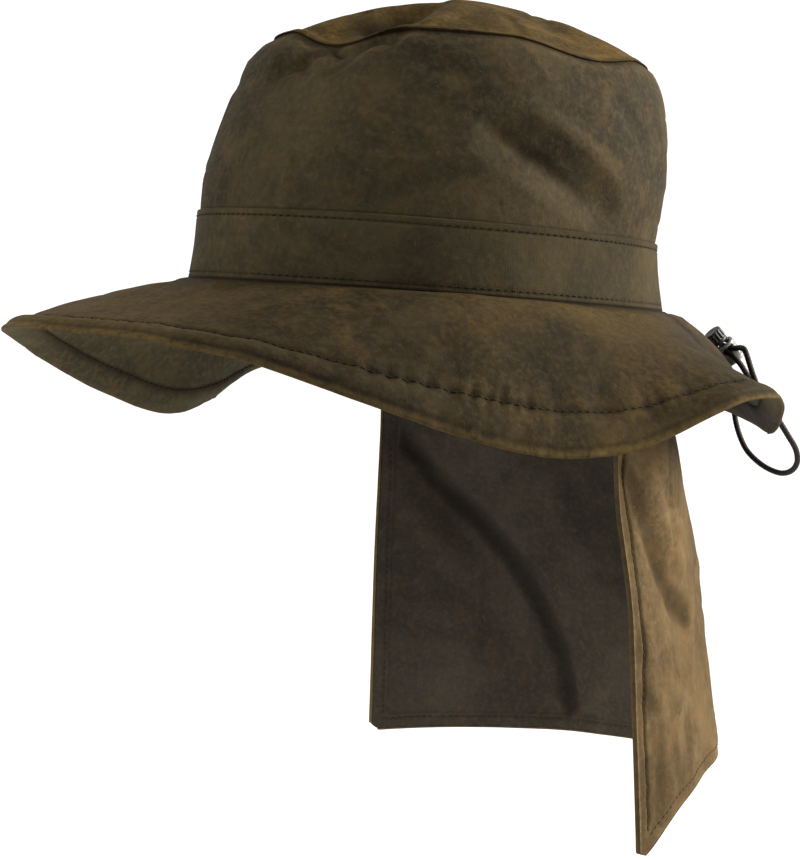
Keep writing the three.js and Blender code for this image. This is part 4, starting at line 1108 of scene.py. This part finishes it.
def make_barrel(axes):
    r, bore, length = BARREL_RADIUS, BORE_RADIUS, BARREL_LENGTH
    profile = np.array([
        (0.4, 0.35, 0), (r * 0.45, 0.12, 0), (r * 0.78, 0.0, 0), (r - 0.45, 0.10, 0), (r - 0.12, 0.42, 0),
        (r, 0.95, 0), (r, 1.6, 0), (r - 0.22, 1.9, 0), (r - 0.22, length - 2.2, 0), (r, length - 1.9, 0),
        (r, length - 0.7, 0), (r - 0.15, length - 0.25, 0), (r - 0.5, length, 0), (bore + 0.15, length, 0),
        (bore, length - 0.2, 0), (bore, BARREL_FLOOR + 0.3, 0), (bore - 0.4, BARREL_FLOOR, 0),
        (0.4, BARREL_FLOOR, 0)])
    barrel = lathe_object("lock_barrel", profile, 72, axes)
    turn = np.arange(SLOT_CORNERS) * 2 * np.pi / SLOT_CORNERS
    width, height = SLOT_WIDTH / 2, SLOT_HEIGHT / 2
    rounded = np.stack([np.sign(np.cos(turn)) * np.abs(np.cos(turn)) ** SLOT_ROUNDING * height,
                        np.sign(np.sin(turn)) * np.abs(np.sin(turn)) ** SLOT_ROUNDING * width], -1)
    ends = []
    for x in (-2 * r, 2 * r):
        ends.append(np.stack([0 * turn + x, rounded[:, 0], rounded[:, 1] + SLOT_START + width], -1))
    points = to_frame(np.stack(ends), axes).reshape(-1, 3)
    cutter = set_mesh("slot_cutter", points, tube_faces(2, SLOT_CORNERS))
    cut_with(barrel, cutter)
    return barrel


def cut_with(item, cutter):
    """Cuts one object by another and removes the cutter"""
    modifier = item.modifiers.new("cut", "BOOLEAN")
    modifier.object = cutter
    modifier.operation = "DIFFERENCE"
    modifier.solver = "EXACT"
    bpy.context.view_layer.update()
    result = bpy.data.meshes.new_from_object(item.evaluated_get(bpy.context.evaluated_depsgraph_get()))
    item.modifiers.clear()
    item.data = result
    bpy.data.objects.remove(cutter)


def make_button(axes):
    r = BORE_RADIUS - 0.02
    base, top = CAP_START, CAP_START + BUTTON_CAP
    stem = STEM_RADIUS - 0.05
    profile = np.array([
        (0.4, SLOT_START - BUTTON_WEB, 0), (stem - 0.3, SLOT_START - BUTTON_WEB, 0),
        (stem, SLOT_START - BUTTON_WEB + 0.3, 0), (stem, base - 0.05, 0), (r - 0.5, base, 0),
        (r - 0.1, base + 0.2, 0.03), (r, base + 0.5, 0.10), (r, base + 0.9, 0.13), (r, top - 1.2, 0.13),
        (r, top - 0.8, 0.11), (r - 0.12, top - 0.4, 0.05), (r - 0.5, top - 0.12, 0.0), (r * 0.62, top, 0),
        (r * 0.5, top - 0.15, 0), (0.4, top - 0.28, 0)])
    button = lathe_object("lock_button", profile, 168, axes,
                          lambda turn: smooth_step(0.5 - 0.9 * np.cos(BUTTON_RIBS * turn)))
    end = SLOT_START + SLOT_WIDTH + BUTTON_TRAVEL
    points = []
    for x in (-2 * r, 2 * r):
        for y, z in ((-1, SLOT_START), (1, SLOT_START), (1, end), (-1, end)):
            points.append((x, y * SLOT_HEIGHT / 2, z))
    cutter = set_mesh("stem_cutter", to_frame(np.array(points), axes), tube_faces(2, 4))
    cut_with(button, cutter)
    return button


EYELET_THREAD = 0.21
# Path of a buttonhole stitch: distance from the middle of the hole, rise
EYELET_PATH = ((1.75, -0.4), (1.75, 0.05), (2.1, 0.42), (2.8, 0.40), (3.2, 0.0))


def make_eyelet(index):
    """Sewn buttonhole round the hole where the cord leaves the hem"""
    degrees = np.array(EYELET_ANGLES[index])
    slope, sweep, normal = brim_frame(degrees, np.array(HEM_MIDDLE))
    centre = brim_face(degrees, np.array(HEM_MIDDLE), np.array(HEM_OPENING + BRIM_CLOTH + 0.05))
    tubes = []
    for t in np.linspace(0, 2 * np.pi, 29)[:-1]:
        across = slope * math.cos(t) + sweep * math.sin(t)
        path = np.stack([centre + across * radius + normal * rise for radius, rise in EYELET_PATH])
        tubes.append(tube_rings(path, np.full((len(path), 5), EYELET_THREAD), 5))
    sew("eyelet_stitching_%d" % (index + 1), tubes, THREAD)


wall = make_crown_wall()
dress(wall, [WAXED])
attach(wall, "hat")
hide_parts("crown_wall")

tip = make_crown_tip()
dress(tip, [TIP_WAXED_WITH_PAINTED_LIGHT])
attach(tip, "hat")
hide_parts("crown_tip")

band = make_band()
dress(band, [BAND_WAXED])
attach(band, "hat")
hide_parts("hat_band")

brim, brim_pick, brim_top, brim_under, brim_shares = make_brim()
dress(brim, [BRIM_WAXED, UNDER_WAXED_WITH_PAINTED_LIGHT], brim_pick)
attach(brim, "hat")
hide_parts("brim_top", "brim_under")

flap, flap_pick, flap_outer, flap_inner = make_flap()
dress(flap, [FLAP_WAXED, LINING], flap_pick)
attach(flap, "hat")
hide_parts("neck_flap")


def crown_line(degrees, height, out):
    return crown_point(degrees, np.full_like(degrees, height), out), outward(degrees)


ring = np.linspace(0, 360, 721)
stitch_rows("band_stitches", [
    crown_line(ring, BAND_SHARE * line, GAP + BAND_CLOTH - 0.1) for line in BAND_STITCHES], THREAD)
stitch_rows("brim_hem_stitches", [
    hem_path(brim_top, grid_normals(brim_top, True), brim_shares, 0.12),
    hem_path(brim_under, -grid_normals(brim_under, True), brim_shares, 0.12)], THREAD)

across_places, down_places = flap_places()
left = int(np.argmin(np.abs(across_places + 1 - FLAP_STITCH / FLAP_HALF_RUN)))
right = int(np.argmin(np.abs(across_places - 1 + FLAP_STITCH / FLAP_HALF_RUN)))
first = int(np.argmin(np.abs(down_places - 0.05)))
last = int(np.argmin(np.abs(down_places - 1 + FLAP_STITCH / FLAP_LENGTH)))
flap_away = unit(flap_outer - flap_inner)
upright = slice(first, last + 1)
flap_lines = []
for face, side in ((flap_outer, 1), (flap_inner, -1)):
    for part in ((upright, left), (last, slice(left, right + 1)), (upright, right)):
        away = flap_away[part] * side
        flap_lines.append((face[part] + away * 0.1, away))
flap_stitches = stitch_rows("flap_stitches", flap_lines, FLAP_THREAD)

lock_axes = lock_frame()
barrel = make_barrel(lock_axes)
dress(barrel, [BARREL_PLASTIC])
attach(barrel, "hat")
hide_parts("cord_lock_body")

button = make_button(lock_axes)
dress(button, [BUTTON_PLASTIC])
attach(button, "button")
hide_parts("cord_lock_button")

make_eyelet(0)
make_eyelet(1)

hidden_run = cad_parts["drawcord_run"]
hidden_run.data.materials.clear()
hidden_run.data.materials.append(CORD)


flap_middle = (flap_outer + flap_inner) / 2
flap_width = arc_lengths(flap_middle, 1)[:, -1].max() * MM
flap_drop = arc_lengths(flap_middle, 0)[-1].max() * MM


# Studio

FLOOR_LEVEL, WALL_TOP, WORLD_STRENGTH = -0.30, 3.1, 0.34
LIGHT_TARGET = Vector((0, 0, -0.03))
WHITE = colour((1, 1, 1))


def make_studio():
    depth, wall_far, width, bend = 1.6, 2.2, 5.0, 0.8
    profile = [(-depth, FLOOR_LEVEL), (wall_far - bend, FLOOR_LEVEL)]
    for k in range(1, 13):
        turn = k / 12 * math.pi / 2
        profile.append((wall_far - bend + bend * math.sin(turn), FLOOR_LEVEL + bend * (1 - math.cos(turn))))
    profile.append((wall_far, WALL_TOP))
    turn = math.radians(CAMERA_ANGLE)
    away = np.array((-math.sin(turn), math.cos(turn), 0))
    side = np.array((math.cos(turn), math.sin(turn), 0))
    points = [away * d + side * x + np.array((0, 0, z)) for d, z in profile for x in (-width, width)]
    faces = [[2 * k, 2 * k + 1, 2 * k + 3, 2 * k + 2] for k in range(len(profile) - 1)]
    floor = set_mesh("studio_floor", np.array(points) / MM, faces)
    n = Nodes("studio_paper")
    n.shader.inputs["Base Color"].default_value = colour((0.10, 0.10, 0.10))
    n.shader.inputs["Roughness"].default_value = 0.95
    n.shader.inputs["Specular IOR Level"].default_value = 0.1
    n.shader.inputs["Emission Color"].default_value = WHITE
    n.shader.inputs["Emission Strength"].default_value = 1.0
    floor.data.materials.append(n.material)


def add_light(name, angle, height, distance, size, power, tint):
    turn = math.radians(angle)
    lamp = bpy.data.lights.new(name, "AREA")
    lamp.shape = "DISK"
    lamp.size = size
    lamp.energy = power
    lamp.color = tint
    item = bpy.data.objects.new(name, lamp)
    place = Vector((math.sin(turn) * distance, -math.cos(turn) * distance, height))
    item.location = place
    item.rotation_euler = (LIGHT_TARGET - place).to_track_quat("-Z", "Y").to_euler()
    bpy.context.collection.objects.link(item)


make_studio()
add_light("left_light", -26, 0.90, 1.8, 1.2, 44, (1.0, 0.93, 0.80))
add_light("right_light", 145, 0.72, 1.5, 1.0, 92, (1.0, 0.92, 0.78))
world = bpy.data.worlds.new("studio_world")
world.use_nodes = True
world.node_tree.nodes["Background"].inputs["Color"].default_value = WHITE
world.node_tree.nodes["Background"].inputs["Strength"].default_value = WORLD_STRENGTH
bpy.context.scene.world = world
bpy.context.scene.view_settings.view_transform = "Standard"
